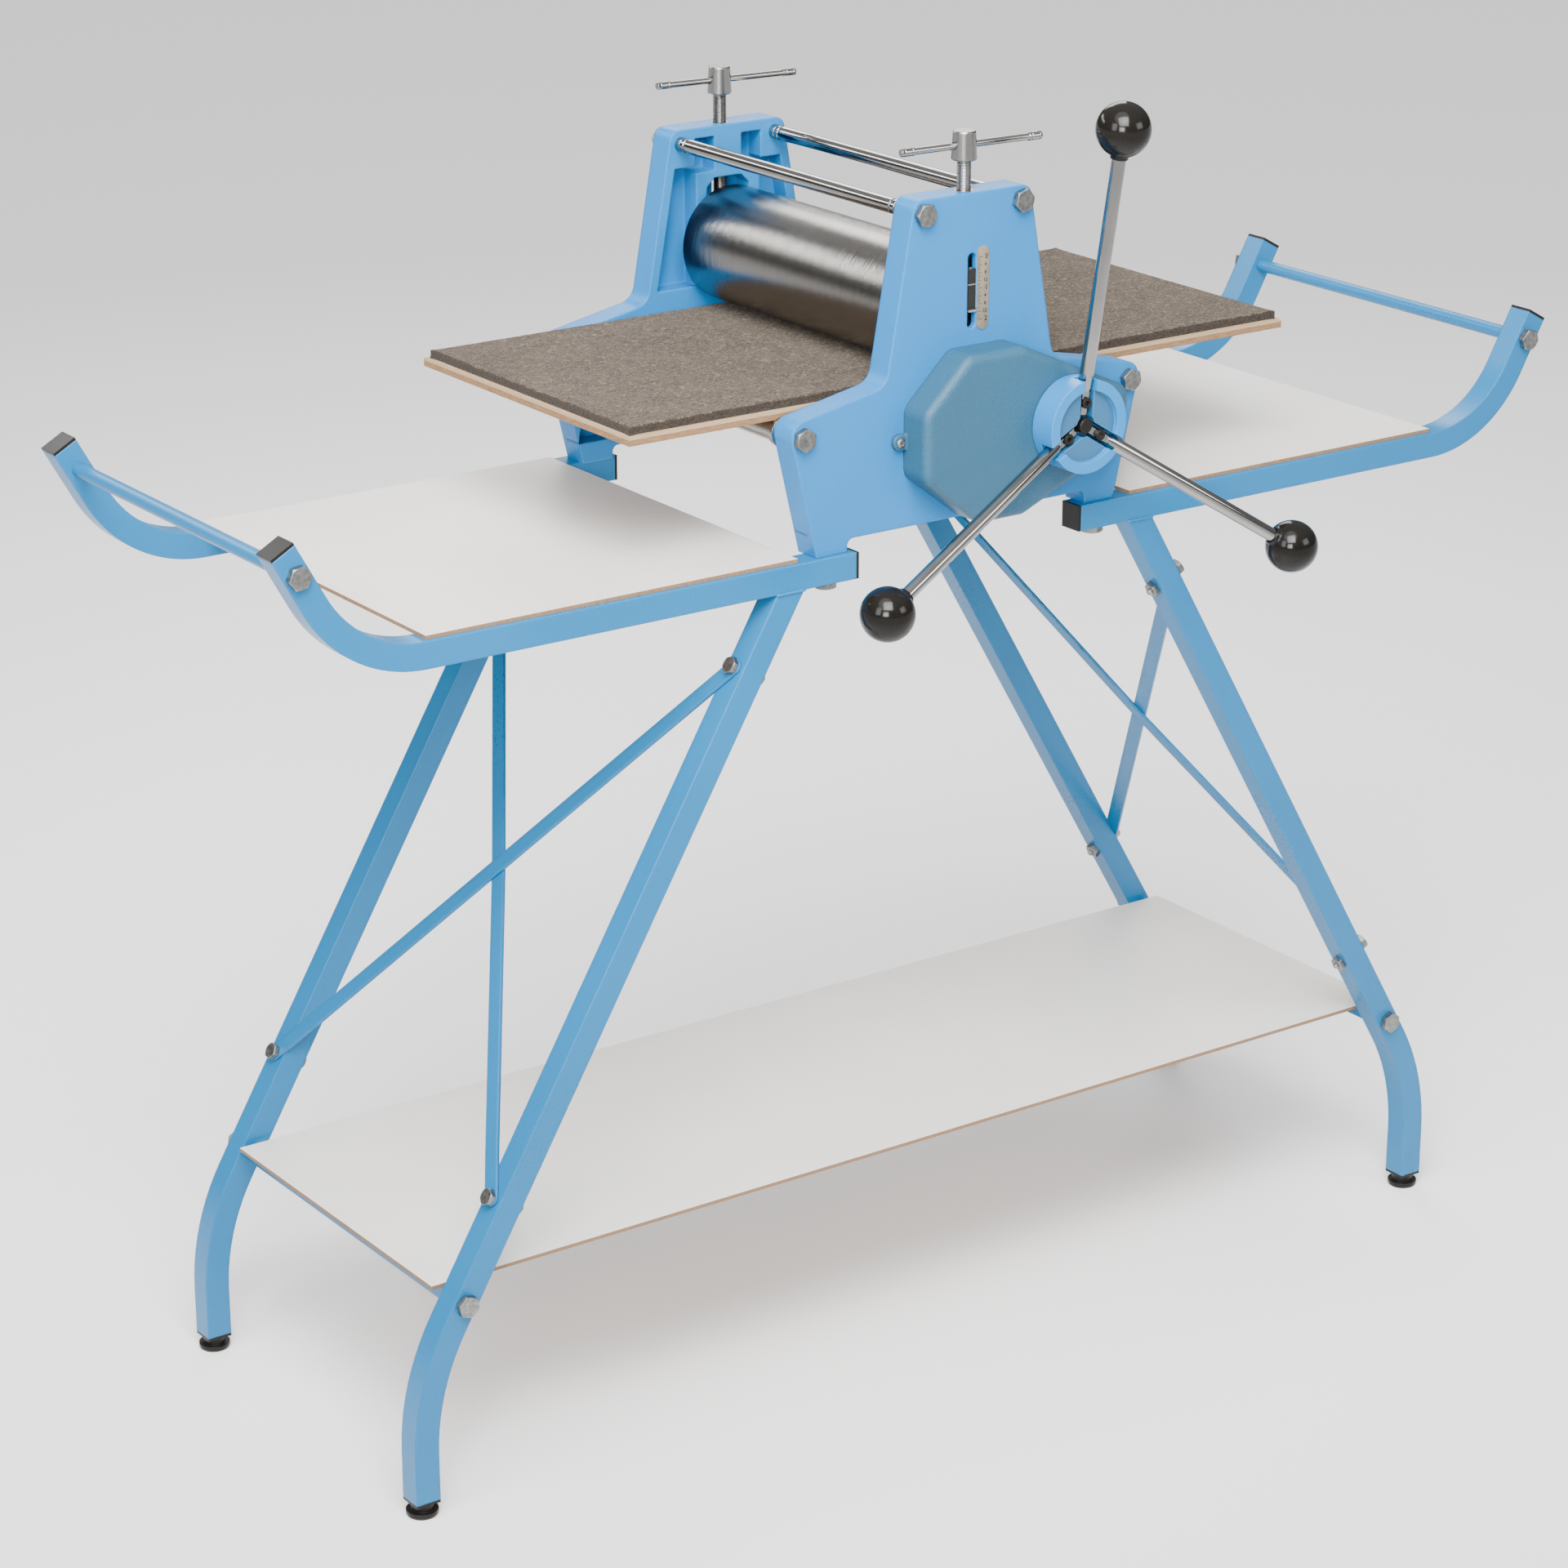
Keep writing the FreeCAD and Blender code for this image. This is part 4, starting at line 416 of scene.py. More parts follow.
def stage():
    camera = bpy.data.objects.new("camera", bpy.data.cameras.new("camera"))
    camera.location = (-2.037, -2.806, 1.724)
    camera.rotation_euler = (math.radians(70.02), 0, math.radians(-35.25))
    camera.data.lens, camera.data.sensor_width = 96.71, 36
    bpy.context.scene.collection.objects.link(camera)
    bpy.context.scene.camera = camera

    bm = bmesh.new()
    bmesh.ops.create_grid(bm, x_segments=1, y_segments=1, size=40)
    mesh = bpy.data.meshes.new("floor")
    bm.to_mesh(mesh)
    bm.free()
    floor = bpy.data.objects.new("floor", mesh)
    bpy.context.scene.collection.objects.link(floor)
    plain = Finish("floor", Base_Color=(0.95, 0.95, 0.95), Roughness=0.95)
    floor.data.materials.append(plain.material)

    def lamp(name, kind, energy, place, aim, **settings):
        data = bpy.data.lights.new(name, kind)
        data.energy = energy
        for key, value in settings.items():
            setattr(data, key, value)
        obj = bpy.data.objects.new(name, data)
        obj.location = place
        obj.rotation_euler = (Vector(aim) - Vector(place)).to_track_quat("-Z", "Y").to_euler()
        bpy.context.scene.collection.objects.link(obj)

    lamp("sky_sun", "SUN", 1.9, (-1.6, -1.2, 4.0), (0, 0, 0.6), angle=0.9)
    lamp("key_box", "AREA", 37, (-0.9, -1.4, 2.5), (0, 0, 0.9), shape="RECTANGLE",
         size=1.4, size_y=1.4, spread=1.5)
    lamp("camera_fill", "AREA", 13, (-2.3, -2.5, 1.7), (0, 0.1, 0.95), shape="RECTANGLE",
         size=1.2, size_y=1.0, spread=1.0)
    lamp("side_box", "AREA", 10, (-2.6, -0.8, 1.9), (0, 0, 0.9), shape="RECTANGLE",
         size=1.0, size_y=1.4, spread=1.6)
    lamp("front_box", "AREA", 8, (1.6, -2.6, 1.9), (0.1, 0, 0.85), shape="RECTANGLE",
         size=1.4, size_y=1.0, spread=1.6)
    lamp("rear_strip", "AREA", 15, (-0.9, 1.9, 1.95), (0, 0, 0.95), shape="RECTANGLE",
         size=1.8, size_y=0.22)
    lamp("rear_box", "AREA", 40, (1.4, 2.2, 2.4), (0, 0, 0.8), shape="RECTANGLE",
         size=1.4, size_y=1.4)
    world = bpy.data.worlds.new("studio")
    world.use_nodes = True
    bpy.context.scene.world = world
    tree = world.node_tree
    tree.nodes.clear()
    where = tree.nodes.new("ShaderNodeTexCoord")
    split = tree.nodes.new("ShaderNodeSeparateXYZ")
    ramp = tree.nodes.new("ShaderNodeValToRGB")
    level = tree.nodes.new("ShaderNodeMath")
    back = tree.nodes.new("ShaderNodeBackground")
    out = tree.nodes.new("ShaderNodeOutputWorld")
    level.operation = "MULTIPLY_ADD"
    level.inputs[1].default_value, level.inputs[2].default_value = 0.5, 0.5
    stops = ramp.color_ramp.elements
    while len(stops) < 4:
        stops.new(0.5)
    for stop, (at, grey) in zip(stops, ((0.0, 0.5), (0.5, 0.12), (0.66, 0.28), (1.0, 1.1))):
        stop.position, stop.color = at, (grey, grey, grey, 1)
    back.inputs["Strength"].default_value = 0.85
    tree.links.new(where.outputs["Generated"], split.inputs[0])
    tree.links.new(split.outputs["Z"], level.inputs[0])
    tree.links.new(level.outputs[0], ramp.inputs[0])
    tree.links.new(ramp.outputs[0], back.inputs["Color"])
    tree.links.new(back.outputs[0], out.inputs["Surface"])


stage()


# ---- making pieces ---------------------------------------------------------------------------

def piece(bm, name, finish, body, *nodes, slot=None, crease=32, merge=0.000001):
    """A finished piece from a bmesh: it rides on a body and stands for CAD nodes."""
    bmesh.ops.remove_doubles(bm, verts=bm.verts, dist=merge)
    bmesh.ops.recalc_face_normals(bm, faces=bm.faces)
    mesh = bpy.data.meshes.new(name)
    bm.to_mesh(mesh)
    bm.free()
    mesh.shade_smooth()
    mesh.set_sharp_from_angle(angle=math.radians(crease))
    obj = bpy.data.objects.new(name, mesh)
    bpy.context.scene.collection.objects.link(obj)
    mesh.materials.append(finish)
    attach(obj, body)
    if nodes:
        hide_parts(*nodes)
    return obj


def aimed(place, direction, roll=0.0):
    """Moves what was made along +Z from the origin to a place, facing a direction."""
    turn = Vector(direction).to_track_quat("Z", "Y").to_matrix().to_4x4()
    return Matrix.Translation(Vector(place)) @ turn @ Matrix.Rotation(roll, 4, "Z")


def stamped(pattern, places):
    """A new bmesh with a copy of the pattern at each place; the pattern is used up."""
    mesh = bpy.data.meshes.new("pattern")
    pattern.to_mesh(mesh)
    pattern.free()
    bm = bmesh.new()
    for place in places:
        known = len(bm.verts)
        bm.from_mesh(mesh)
        bm.verts.ensure_lookup_table()
        bmesh.ops.transform(bm, matrix=place, verts=bm.verts[known:])
    bpy.data.meshes.remove(mesh)
    return bm


def add(bm, other, place=Matrix.Identity(4)):
    """Joins another bmesh into bm at a place; the other is used up."""
    mesh = bpy.data.meshes.new("added")
    other.to_mesh(mesh)
    other.free()
    known = len(bm.verts)
    bm.from_mesh(mesh)
    bm.verts.ensure_lookup_table()
    bmesh.ops.transform(bm, matrix=place, verts=bm.verts[known:])
    bpy.data.meshes.remove(mesh)
    return bm


def turned(profile, steps=48):
    """A solid of revolution round Z from (height, radius) pairs, in millimetres."""
    bm = bmesh.new()
    line = [bm.verts.new((radius * MM, 0, height * MM)) for height, radius in profile]
    edges = [bm.edges.new(pair) for pair in zip(line, line[1:])]
    bmesh.ops.spin(bm, geom=line + edges, cent=(0, 0, 0), axis=Z, angle=math.tau,
                   steps=steps, use_merge=True)
    bmesh.ops.remove_doubles(bm, verts=bm.verts, dist=1e-7)
    return bm


def hexagon(flats, height, chamfer_in=0.975, both=False):
    """A hexagonal head from z = 0 up, its corners turned off to a 30 degree chamfer."""
    bm = bmesh.new()
    radius = flats / math.sqrt(3) * MM
    bmesh.ops.create_cone(bm, cap_ends=True, segments=6, radius1=radius, radius2=radius,
                          depth=height * MM)
    bmesh.ops.translate(bm, vec=(0, 0, height / 2 * MM), verts=bm.verts)
    ends = [(height * MM, 1)] + ([(0, -1)] if both else [])
    for level, way in ends:
        for k in range(24):
            turn = Matrix.Rotation(math.tau * k / 24, 3, "Z")
            touch = turn @ Vector((flats / 2 * chamfer_in * MM, 0, 0)) + Vector((0, 0, level))
            bmesh.ops.bisect_plane(
                bm, geom=bm.verts[:] + bm.edges[:] + bm.faces[:], plane_co=touch,
                plane_no=turn @ Vector((0.5, 0, 0.866 * way)), clear_outer=True)
            bmesh.ops.holes_fill(bm, edges=[e for e in bm.edges if e.is_boundary])
    return bm


def screw_thread(major, minor, pitch, start, length, steps=32):
    """An external thread round Z: one pitch of its flanks, swept up the helix."""
    bm = bmesh.new()
    turns = max(1, round(length / pitch) - 1)
    corners = ((0, minor), (0.06, minor), (0.44, major), (0.56, major), (0.94, minor),
               (1, minor))
    line = [bm.verts.new((radius * MM, 0, (start + at * pitch) * MM)) for at, radius in corners]
    edges = [bm.edges.new(pair) for pair in zip(line, line[1:])]
    bmesh.ops.spin(bm, geom=line + edges, cent=(0, 0, 0), axis=Z, angle=math.tau * turns,
                   steps=steps * turns, dvec=(0, 0, pitch / steps * MM), use_merge=False)
    bmesh.ops.remove_doubles(bm, verts=bm.verts, dist=1e-6)
    return bm


def hexagon_bolt(flats, head, shank, length, tail=0.0, pitch=1.0):
    """Head above z = 0 with a turned washer face, shank below, threaded over its tail."""
    bm = hexagon(flats, head - 0.4)
    bmesh.ops.translate(bm, vec=(0, 0, 0.4 * MM), verts=bm.verts)
    add(bm, turned([(0.45, 0), (0.45, flats * 0.475), (0, flats * 0.475), (0, 0)], 36))
    plain = length - tail
    add(bm, turned([(0.1, 0), (0.1, shank), (-plain, shank), (-plain, 0)], 24))
    if tail:
        add(bm, turned([(-plain, 0), (-plain, shank - 0.55), (-length + 0.4, shank - 0.55),
                        (-length, shank - 0.95), (-length, 0)], 24))
        add(bm, screw_thread(shank, shank - 0.6, pitch, -length + 0.3, tail - 0.3, 24))
    return bm


def corners(x, y, z):
    """The four mirror places of one corner of the press or stand, in millimetres."""
    return [Vector((sx * x, sy * y, z)) * MM for sx in (1, -1) for sy in (1, -1)]


def outward(place):
    return Y if place.y > 0 else -Y


def varied(count, step=0.71):
    """Different standing angles for fasteners that were each tightened by hand."""
    return [step * (k + 1) * 1.7 for k in range(count)]


# ---- fasteners -------------------------------------------------------------------------------

# millimetres, where the press stands
STAND_FACE, FRAME_FACE, TUBE_HALF = 189.1, 185.0, 11.1
LEG_TOP, LEG_TOP_X, LEG_MIDDLE_Y = 719.8, 180.5, 178
LEG_RUN = 0.59080                       # sideways for each unit down
LEG_SLOPE = math.atan(LEG_RUN)
BRACE_BOLT_HEIGHTS, BRACE_THICK = (657, 255), 3.0


def side_bolts():
    spots = corners(624.45, STAND_FACE, 811.8) + corners(499, STAND_FACE, 180.8)
    places = [aimed(p, outward(p), a) for p, a in zip(spots, varied(8))]
    piece(stamped(hexagon_bolt(17, 6.4, 4.0, 44), places), "stand_bolt_set", ZINC, "press",
          "stand_bolts", slot="zinc_steel", crease=20)
    spots = corners(49, FRAME_FACE, 1008) + corners(166.5, FRAME_FACE, 842.7)
    places = [aimed(p, outward(p), a) for p, a in zip(spots, varied(8, 0.53))]
    piece(stamped(hexagon_bolt(17, 6.4, 4.95, 33), places), "tie_rod_bolt_set", ZINC,
          "press", "tie_rod_bolts", slot="zinc_steel", crease=20)
    spots = corners(138, 176, 719.8)
    places = [aimed(p, -Z, a) for p, a in zip(spots, varied(4, 0.37))]
    piece(stamped(hexagon_bolt(17, 6.4, 4.9, 37), places), "foot_bolt_set", ZINC, "press",
          "foot_bolts", slot="zinc_steel", crease=20)


def brace_fasteners():
    """Bolts square to the legs' outer faces, with their nuts on the inner faces."""
    heads, nuts = [], []
    for height in BRACE_BOLT_HEIGHTS:
        middle = LEG_TOP_X + LEG_RUN * (LEG_TOP - height)
        for place, angle in zip(corners(middle, LEG_MIDDLE_Y, height), varied(4, 0.29)):
            side = 1 if place.x > 0 else -1
            out = Vector((side * math.cos(LEG_SLOPE), 0, math.sin(LEG_SLOPE)))
            heads.append(aimed(place + out * (TUBE_HALF + BRACE_THICK) * MM, out, angle))
            nuts.append(aimed(place - out * TUBE_HALF * MM, -out, angle * 1.3))
    piece(stamped(hexagon_bolt(13, 5.3, 2.95, 33.1, 9.0), heads), "brace_bolt_set", ZINC,
          "press", "brace_bolts", slot="zinc_steel", crease=20)
    piece(stamped(hexagon(13, 5.0, both=True), nuts), "brace_nut_set", ZINC, "press",
          "brace_nuts", slot="zinc_steel", crease=20)


def cross_recess(bm, depth, reach, width):
    """Sinks a cross into the top of a head made along +Z."""
    top = max(v.co.z for v in bm.verts)
    tool = bmesh.new()
    for turn in (0, math.pi / 2):
        bar = bmesh.new()
        bmesh.ops.create_cube(bar, size=1)
        size = Matrix.Diagonal((reach * MM, width * MM, depth * 2 * MM, 1))
        add(tool, bar, Matrix.Translation((0, 0, top)) @ Matrix.Rotation(turn, 4, "Z") @ size)
    return carved(bm, tool)


def carved(bm, tool):
    """The bmesh less the tool, by a Boolean modifier that is applied at once."""
    meshes = []
    for made in (bm, tool):
        bmesh.ops.recalc_face_normals(made, faces=made.faces)
        mesh = bpy.data.meshes.new("carving")
        made.to_mesh(mesh)
        made.free()
        meshes.append(mesh)
    block, cutter = (bpy.data.objects.new("carving", mesh) for mesh in meshes)
    for obj in (block, cutter):
        bpy.context.scene.collection.objects.link(obj)
    carve = block.modifiers.new("carve", "BOOLEAN")
    carve.object, carve.operation, carve.solver = cutter, "DIFFERENCE", "EXACT"
    carve.use_self = True
    graph = bpy.context.evaluated_depsgraph_get()
    result = bmesh.new()
    result.from_mesh(block.evaluated_get(graph).to_mesh())
    for obj in (block, cutter):
        bpy.data.objects.remove(obj)
    for mesh in meshes:
        bpy.data.meshes.remove(mesh)
    return result


def cover_screw_set():
    head = turned([(-14, 0), (-14, 1.9), (0, 1.9), (0, 3.7), (0.5, 4.0), (1.2, 3.75),
                   (1.9, 2.9), (2.35, 1.6), (2.5, 0)], 40)
    head = cross_recess(head, 1.3, 4.0, 0.95)
    face = -(FRAME_FACE + 4.5)
    places = [aimed(Vector((x, face, 826)) * MM, -Y, a) for x, a in ((-73, 0.5), (149, 1.1))]
    piece(stamped(head, places), "cover_screw_set", ZINC, "press", "gear_cover_screws",
          slot="zinc_steel", crease=28)


# ---- crank -----------------------------------------------------------------------------------

ARM_PLANE, ARM_LEAN = -228.7, math.atan2(33.5, 246)
ARM_TURNS = [math.radians(2.4 + 120 * k) for k in range(3)]


def on_arm(turn, reach, out, lean=ARM_LEAN):
    """The place of something at a radius along an arm, facing out along the arm."""
    spoke = Vector((math.sin(turn), 0, math.cos(turn)))
    spot = Vector((CRANK.x, ARM_PLANE * MM, CRANK.z)) + (spoke * reach - Y * out) * MM
    along = spoke * math.cos(lean) - Y * math.sin(lean)
    return aimed(spot, along)


def knobs():
    """Moulded ball with a short collar; the profile runs from the collar out along the arm."""
    profile = [(-23.9, 6.0), (-24.0, 7.0), (-23.7, 7.5), (-22.4, 7.6), (-21.4, 7.8)]
    start = math.asin(8.1 / 22.5)
    for k in range(31):
        angle = start + (math.pi - start) * k / 30
        profile.append((-22.5 * math.cos(angle), 22.5 * math.sin(angle)))
    profile[-1] = (22.5, 0)
    places = [on_arm(turn, 246, 33.5) for turn in ARM_TURNS]
    piece(stamped(turned(profile, 96), places), "ball_knob_set", BALL_BLACK, "crank",
          "crank_knobs", slot="black_plastic", crease=50)


def arms():
    """Bright rods, waisted where they lie in the hub and filed flat at the clamp screws."""
    rod = turned([(9, 0), (9, 4.1), (9.6, 4.6), (30, 4.6), (34, 5.9), (228, 5.9),
                  (228.4, 5.6), (228.4, 0)], 56)
    for side, level in ((1, 3.7), (-1, 3.3)):
        low = bmesh.new()
        bmesh.ops.create_cube(low, size=1)
        size = Matrix.Diagonal((30 * MM, 10 * MM, 46 * MM, 1))
        add_at = Matrix.Translation((0, side * (level + 5) * MM, 6 * MM))
        rod = carved(rod, add(bmesh.new(), low, add_at @ size))
    places = []
    for turn in ARM_TURNS:
        spoke = Vector((math.sin(turn), 0, math.cos(turn)))
        along = spoke * math.cos(ARM_LEAN) - Y * math.sin(ARM_LEAN)
        across = spoke.cross(Y)
        frame_turn = Matrix((across, along.cross(across), along)).transposed().to_4x4()
        origin = Vector((CRANK.x, ARM_PLANE * MM, CRANK.z))
        places.append(Matrix.Translation(origin) @ frame_turn)
    piece(stamped(rod, places), "arm_set", CHROME, "crank", "crank_arms",
          slot="bright_steel", crease=30)


def socket_screw(head, height, shank, length, key):
    """Socket cap screw: a knurled, chamfered head above z = 0 and its hexagon socket."""
    bm = turned([(-length, 0), (-length, shank), (0, shank), (0, head - 0.25),
                 (0.3, head), (height - 0.5, head), (height, head - 0.5), (height, 0)], 60)
    grooves = [e for e in bm.edges if abs(e.verts[0].co.z - e.verts[1].co.z) > height * 0.5 * MM
               and e.verts[0].co.xy.length > (head - 0.05) * MM]
    for edge in grooves[::2]:
        for vert in edge.verts:
            vert.co.xy *= 0.965
    tool = bmesh.new()
    bmesh.ops.create_cone(tool, cap_ends=True, segments=6, radius1=key * MM,
                          radius2=key * MM, depth=height * 1.3 * MM)
    bmesh.ops.translate(tool, vec=(0, 0, height * MM), verts=tool.verts)
    return carved(bm, tool)


def hub_fasteners():
    """The three clamp screws, and the capped bolt in the middle of the hub."""
    seat = ARM_PLANE - 3.2 - 29 * 0.06
    spots = [Vector((CRANK.x + 0.019 * math.sin(t), seat * MM, CRANK.z + 0.019 * math.cos(t)))
             for t in ARM_TURNS]
    screws = stamped(socket_screw(4.6, 4.2, 2.85, 13.5, 2.3),
                     [aimed(p, -Y, 0.4 + k) for k, p in enumerate(spots)])
    cap = turned([(-22, 0), (-22, 3.85), (0, 3.85), (0, 6.3), (12.2, 6.3), (12.9, 5.7),
                  (13.0, 0)], 60)
    middle = Vector((CRANK.x, (-225.5) * MM, CRANK.z))
    add(screws, cap, aimed(middle, -Y))
    piece(screws, "hub_screw_set", OXIDE_BLACK, "crank", "hub_screws",
          slot="black_steel", crease=30)


# ---- pressure screws and tommy bars ----------------------------------------------------------

# each side: where its screw stands from the middle, and how its bar is turned
SCREWS = (("front", -172.5, math.radians(-2.5)), ("back", 172.5, math.radians(-4.7)))
BAR_HEIGHT = 1056.25


def pressure_screws():
    for side, y, turn in SCREWS:
        head = turned([(1044.5, 0), (1044.5, 6.6), (1044.5, 9.7), (1045.4, 10.5), (1066.9, 9.4),
                       (1068.0, 8.6), (1068.0, 0)], 72)
        tool = turned([(-30, 0), (-30, 3.05), (30, 3.05), (30, 0)], 40)
        along = Vector((math.cos(turn), math.sin(turn), 0))
        bore = add(bmesh.new(), tool, aimed(Vector((0, 0, BAR_HEIGHT)) * MM, along))
        bm = carved(head, bore)
        add(bm, turned([(943.2, 0), (943.2, 5.0), (944.4, 5.35), (1044.6, 5.35),
                        (1044.6, 0)], 40))
        add(bm, screw_thread(6.0, 5.2, 1.75, 944.0, 100.6, 36))
        bmesh.ops.translate(bm, vec=(0, y * MM, 0), verts=bm.verts)
        piece(bm, "screw_" + side, SCREW_STEEL, "screw_" + side, "pressure_screw_" + side,
              slot="bright_steel", crease=30)


def tommy_bars():
    """Bars with a swelled, grooved grip pressed on each end."""
    grip = [(0, 0), (0, 2.6), (0.5, 3.2), (2.2, 3.45), (2.6, 3.0), (3.1, 3.0), (3.5, 3.45),
            (9.6, 3.45), (10.0, 3.05), (10.5, 3.05), (10.9, 3.45), (12.6, 3.45), (13.0, 2.9)]
    body = grip + [(124.0, 2.9)] + [(137.0 - at, r) for at, r in reversed(grip)]
    for side, y, turn in SCREWS:
        along = Vector((math.cos(turn), math.sin(turn), 0))
        start = Vector((0, y, BAR_HEIGHT)) + along * (7.0 - 68.5)
        bm = stamped(turned(body, 40), [aimed(start * MM, along)])
        piece(bm, "bar_" + side + "_grip", CHROME, "bar_" + side, "tommy_bar_" + side,
              slot="bright_steel", crease=30)


# ---- rollers and rods ------------------------------------------------------------------------

def big_roller():
    """Ground roller: chamfered rims, a turned step on each face, and its journals."""
    half = [(0, 50), (156.0, 50), (156.6, 49.6), (157, 48.8), (157, 44), (155.6, 43.2),
            (155.6, 20), (157, 19.2), (157, 11), (176.4, 11), (177, 10.4), (177, 0)]
    profile = [(-at, r) for at, r in reversed(half[1:])] + half[1:]
    axis = (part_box("upper_roller")[0].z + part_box("upper_roller")[1].z) / 2
    bm = stamped(turned(profile, 160), [aimed((0, 0, axis), Y)])
    piece(bm, "printing_roller", ROLL_STEEL, "upper_roller_set", "upper_roller",
          slot="turned_steel", crease=20)


def tie_rods():
    """Plated rods with a shoulder ring at each end, where they meet the side frames."""
    half = [(0, 6.3), (145.5, 6.3), (145.8, 5.7), (147.8, 5.7), (148.2, 6.3), (152, 6.3),
            (152.3, 5.8), (153.6, 5.8), (153.9, 6.3), (159.6, 6.3), (160, 6.0), (160, 0)]
    profile = [(-at, r) for at, r in reversed(half[1:])] + half[1:]
    for name, x, z, finish, nodes, slot in (
            ("upper_rod_set", 49, 1008, CHROME, "upper_tie_rods", "bright_steel"),
            ("lower_rod_set", 166.5, 842.7, SHAFT_STEEL, "lower_tie_rods", "bright_steel")):
        places = [aimed(Vector((side * x, 0, z)) * MM, Y) for side in (1, -1)]
        piece(stamped(turned(profile, 48), places), name, finish, "press", nodes,
              slot=slot, crease=25)


# ---- scale, pointer --------------------------------------------------------------------------

def letters(text, size, place):
    """Flat printed text facing -Y, as a mesh at its place."""
    curve = bpy.data.curves.new("numeral", "FONT")
    curve.body, curve.size, curve.offset = text, size, 0.00010
    curve.align_x, curve.align_y = "CENTER", "CENTER"
    obj = bpy.data.objects.new("numeral", curve)
    bpy.context.scene.collection.objects.link(obj)
    graph = bpy.context.evaluated_depsgraph_get()
    bm = bmesh.new()
    bm.from_mesh(obj.evaluated_get(graph).to_mesh())
    bpy.data.objects.remove(obj)
    bpy.data.curves.remove(curve)
    bmesh.ops.transform(bm, matrix=Matrix.Translation(place) @ Matrix.Rotation(
        math.pi / 2, 4, "X"), verts=bm.verts)
    return bm


def scale():
    """A two-inch scale in sixteenths, counted down from its top mark."""
    low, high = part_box("scale_plate")
    middle, half = (low.x + high.x) / 2, (high.x - low.x) / 2
    bm = bmesh.new()
    ends = []
    for level, first in ((high.z - half, 0), (low.z + half, math.pi)):
        for k in range(17):
            angle = first + math.pi * k / 16
            ends.append(bm.verts.new((middle + half * math.cos(angle), high.y,
                                      level + half * math.sin(angle))))
    face = bm.faces.new(ends)
    grown = bmesh.ops.extrude_face_region(bm, geom=[face])["geom"]
    bmesh.ops.translate(bm, vec=(0, low.y - high.y, 0),
                        verts=[v for v in grown if isinstance(v, bmesh.types.BMVert)])
    rim = [e for e in bm.edges if all(abs(v.co.y - low.y) < 1e-6 for v in e.verts)]
    bmesh.ops.bevel(bm, geom=rim, offset=0.00018, affect="EDGES", segments=2, profile=0.5,
                    material=-1)
    piece(bm, "scale_strip", SCALE_BEIGE, "press", "scale_plate", slot="plate", crease=30)
    marks = bmesh.new()
    zero, reach, front = 0.9667, 0.0508, low.y - 0.00003
    for k in range(33):
        long = 4.6 if k % 16 == 0 else 3.4 if k % 4 == 0 else 2.4 if k % 2 == 0 else 1.7
        tick = bmesh.new()
        bmesh.ops.create_grid(tick, x_segments=1, y_segments=1, size=0.5)
        size = Matrix.Diagonal((long * MM, 0.42 * MM, 1, 1))
        spot = Matrix.Translation((low.x + (0.5 + long / 2) * MM, front,
                                   zero - k * reach / 32))
        add(marks, tick, spot @ Matrix.Rotation(math.pi / 2, 4, "X") @ size)
    for text, at in (("0", 0), ("4", 4), ("8", 8), ("12", 12), ("1", 16), ("4", 20),
                     ("8", 24), ("12", 28), ("2", 32)):
        large = at % 16 == 0
        x = middle + (3.0 if large else 2.1) * MM
        add(marks, letters(text, 0.0056 if large else 0.0040,
                           Vector((x, front, zero - at * reach / 32))))
    piece(marks, "scale_marks", PRINT_BLACK, "press", slot="black_steel")


# ---- felt ------------------------------------------------------------------------------------

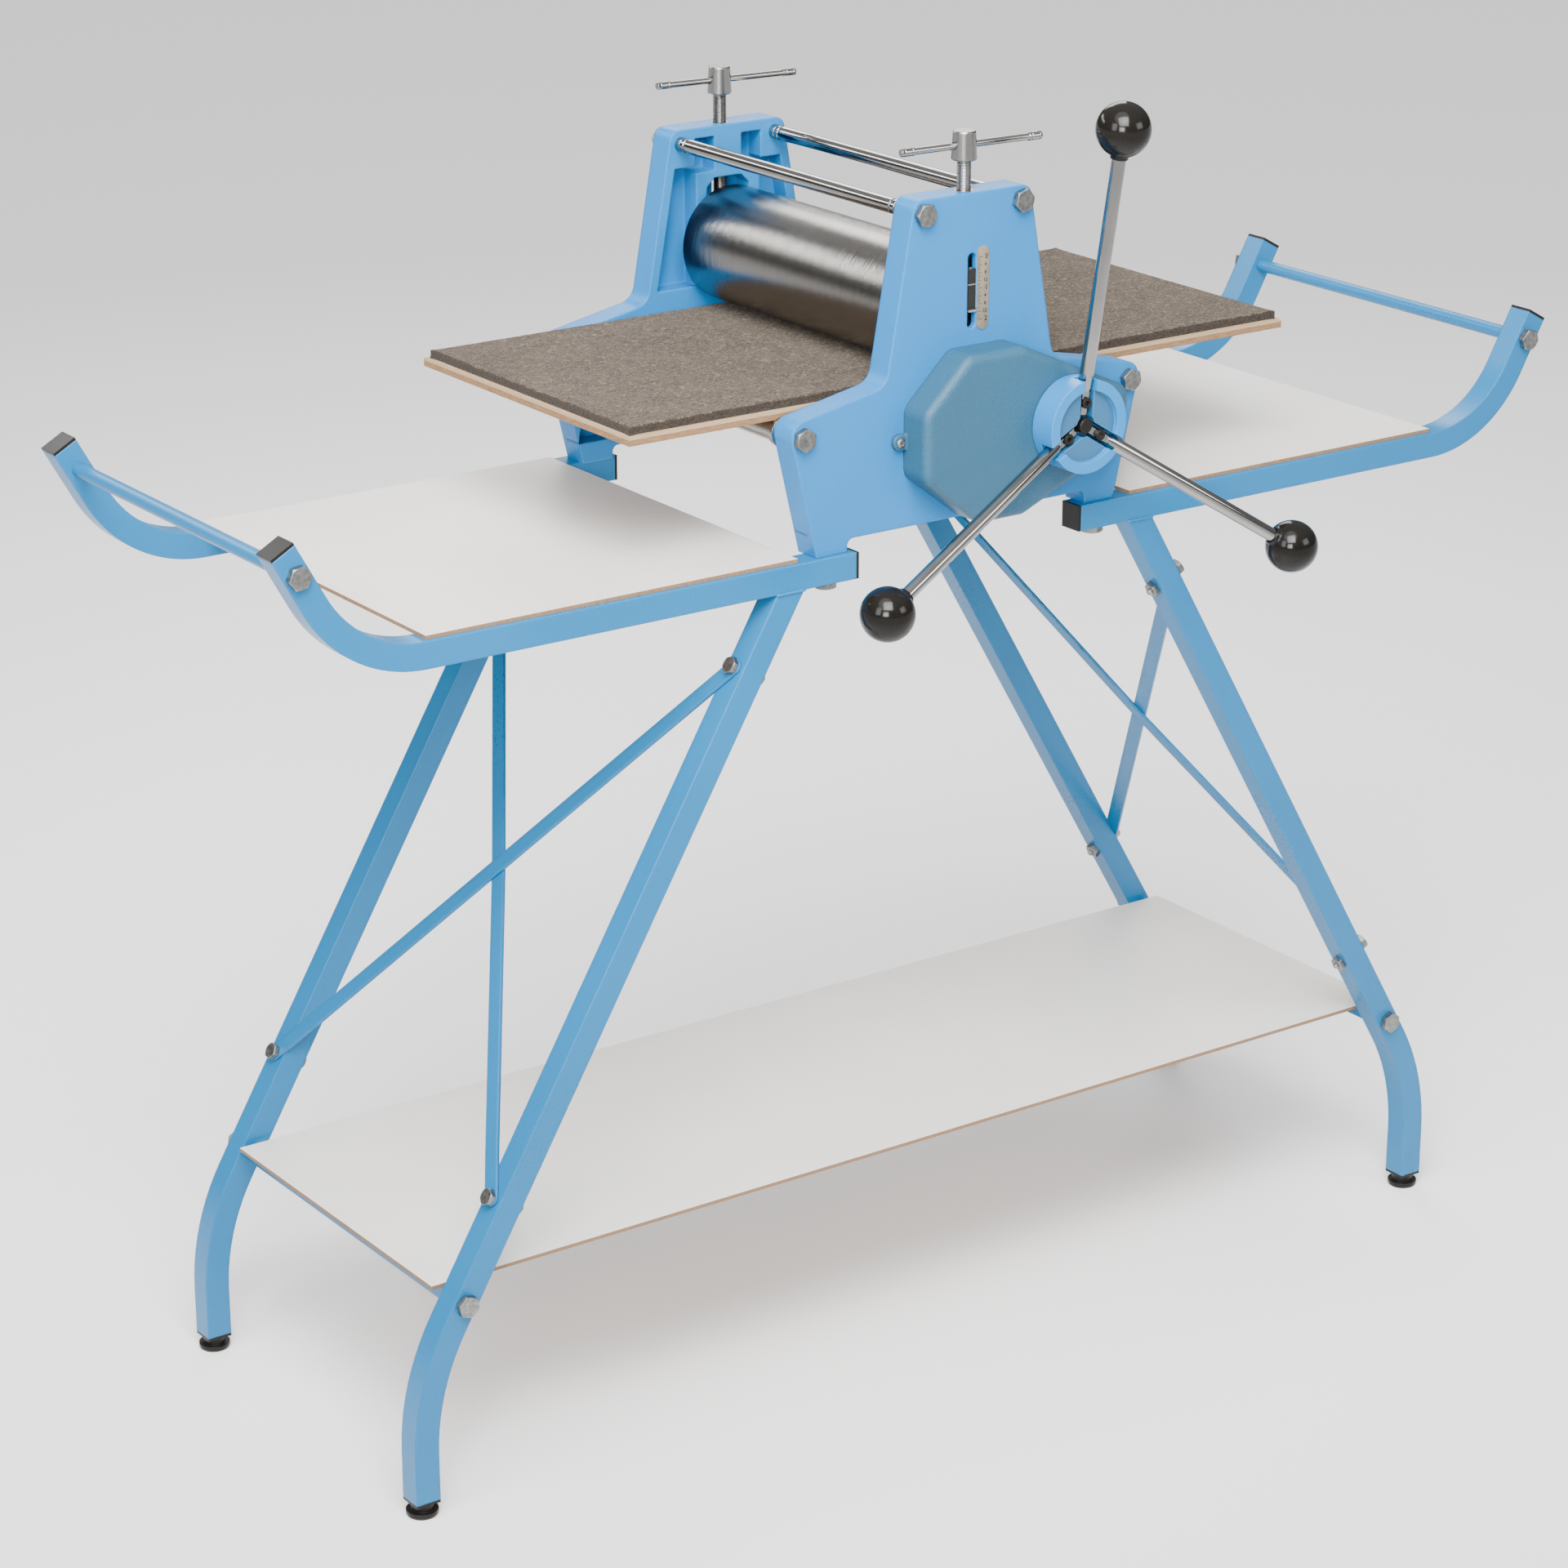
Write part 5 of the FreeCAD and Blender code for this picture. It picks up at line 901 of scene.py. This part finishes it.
def blanket():
    """Thick felt laid on the bed: round corners, soft top edge, and a matted surface."""
    low, high = FELT_LOW, FELT_HIGH
    middle, span = (low + high) / 2, high - low
    inset, corner = 0.0016, 0.0064
    half = Vector((span.x / 2 - inset, span.y / 2 - inset))
    bm = bmesh.new()
    bmesh.ops.create_grid(bm, x_segments=184, y_segments=82, size=1)
    for vert in bm.verts:
        spot = Vector((vert.co.x * half.x, vert.co.y * half.y))
        past = Vector([max(0, abs(v) - h + corner) for v, h in zip(spot, half)])
        if past.x and past.y:
            shorter = past * (max(past) / past.length - 1)
            spot += Vector([math.copysign(c, v) for c, v in zip(shorter, spot)])
        vert.co = (spot.x, spot.y, high.z)

    def outset(place, reach):
        past = Vector([math.copysign(max(0, abs(v) - h + corner), v)
                       for v, h in zip(place.xy, half)])
        return (past.normalized() * reach).to_3d()

    rim = [e for e in bm.edges if e.is_boundary]
    for reach, drop in ((0.9, 0.35), (0.7, 1.1), (0, 1.4), (0, 1.6), (0, 1.6), (0, 1.45)):
        grown = bmesh.ops.extrude_edge_only(bm, edges=rim)["geom"]
        for vert in (g for g in grown if isinstance(g, bmesh.types.BMVert)):
            vert.co += outset(vert.co, reach * MM) - Z * drop * MM
        rim = [g for g in grown if isinstance(g, bmesh.types.BMEdge)]
        rim = [e for e in rim if e.is_boundary]
    bmesh.ops.contextual_create(bm, geom=rim)
    bmesh.ops.translate(bm, vec=(middle.x, middle.y, 0), verts=bm.verts)
    for vert in bm.verts:
        tuft = noise.noise(vert.co * 160) * 0.5 + noise.noise(vert.co * 420) * 0.5
        wave = noise.noise(vert.co * 9)
        if vert.co.z > high.z - 0.0001:
            vert.co.z -= (0.00028 * (1 + tuft) + 0.0001 * (1 + wave))
        elif vert.co.z > low.z + 0.0005:
            away = outset(vert.co - middle, 1.0)
            vert.co -= away * 0.0005 * (1 + tuft + wave * 0.5)
    obj = piece(bm, "blanket", FELT, "bed", "felt_blanket", slot="felt", crease=60)


# ---- welds -----------------------------------------------------------------------------------

def welds():
    """A painted bead round the top of each leg, where it meets the underside of its rail."""
    bm = bmesh.new()
    half_x, half_y = TUBE_HALF / math.cos(LEG_SLOPE), TUBE_HALF
    for place in corners(LEG_TOP_X, LEG_MIDDLE_Y, LEG_TOP - 0.2):
        path = []
        for (x0, y0), (x1, y1) in (((-1, -1), (1, -1)), ((1, -1), (1, 1)), ((1, 1), (-1, 1)),
                                   ((-1, 1), (-1, -1))):
            for k in range(14):
                x = (x0 + (x1 - x0) * k / 14) * half_x
                y = (y0 + (y1 - y0) * k / 14) * half_y
                path.append(place + Vector((x, y, 0)) * MM)
        for k, spot in enumerate(path):
            bead = bmesh.new()
            bmesh.ops.create_icosphere(bead, subdivisions=2, radius=1.0)
            swell = 1.35 + 0.18 * noise.noise(spot * 400)
            size = Matrix.Diagonal((swell * MM * 1.15, swell * MM * 1.15, swell * MM, 1))
            add(bm, bead, Matrix.Translation(spot) @ size)
    piece(bm, "leg_welds", TUBE_PAINT, "press", slot="stand_paint", crease=80, merge=1e-9)


side_bolts()
brace_fasteners()
cover_screw_set()
knobs()
arms()
hub_fasteners()
pressure_screws()
tommy_bars()
big_roller()
tie_rods()
scale()
blanket()
welds()
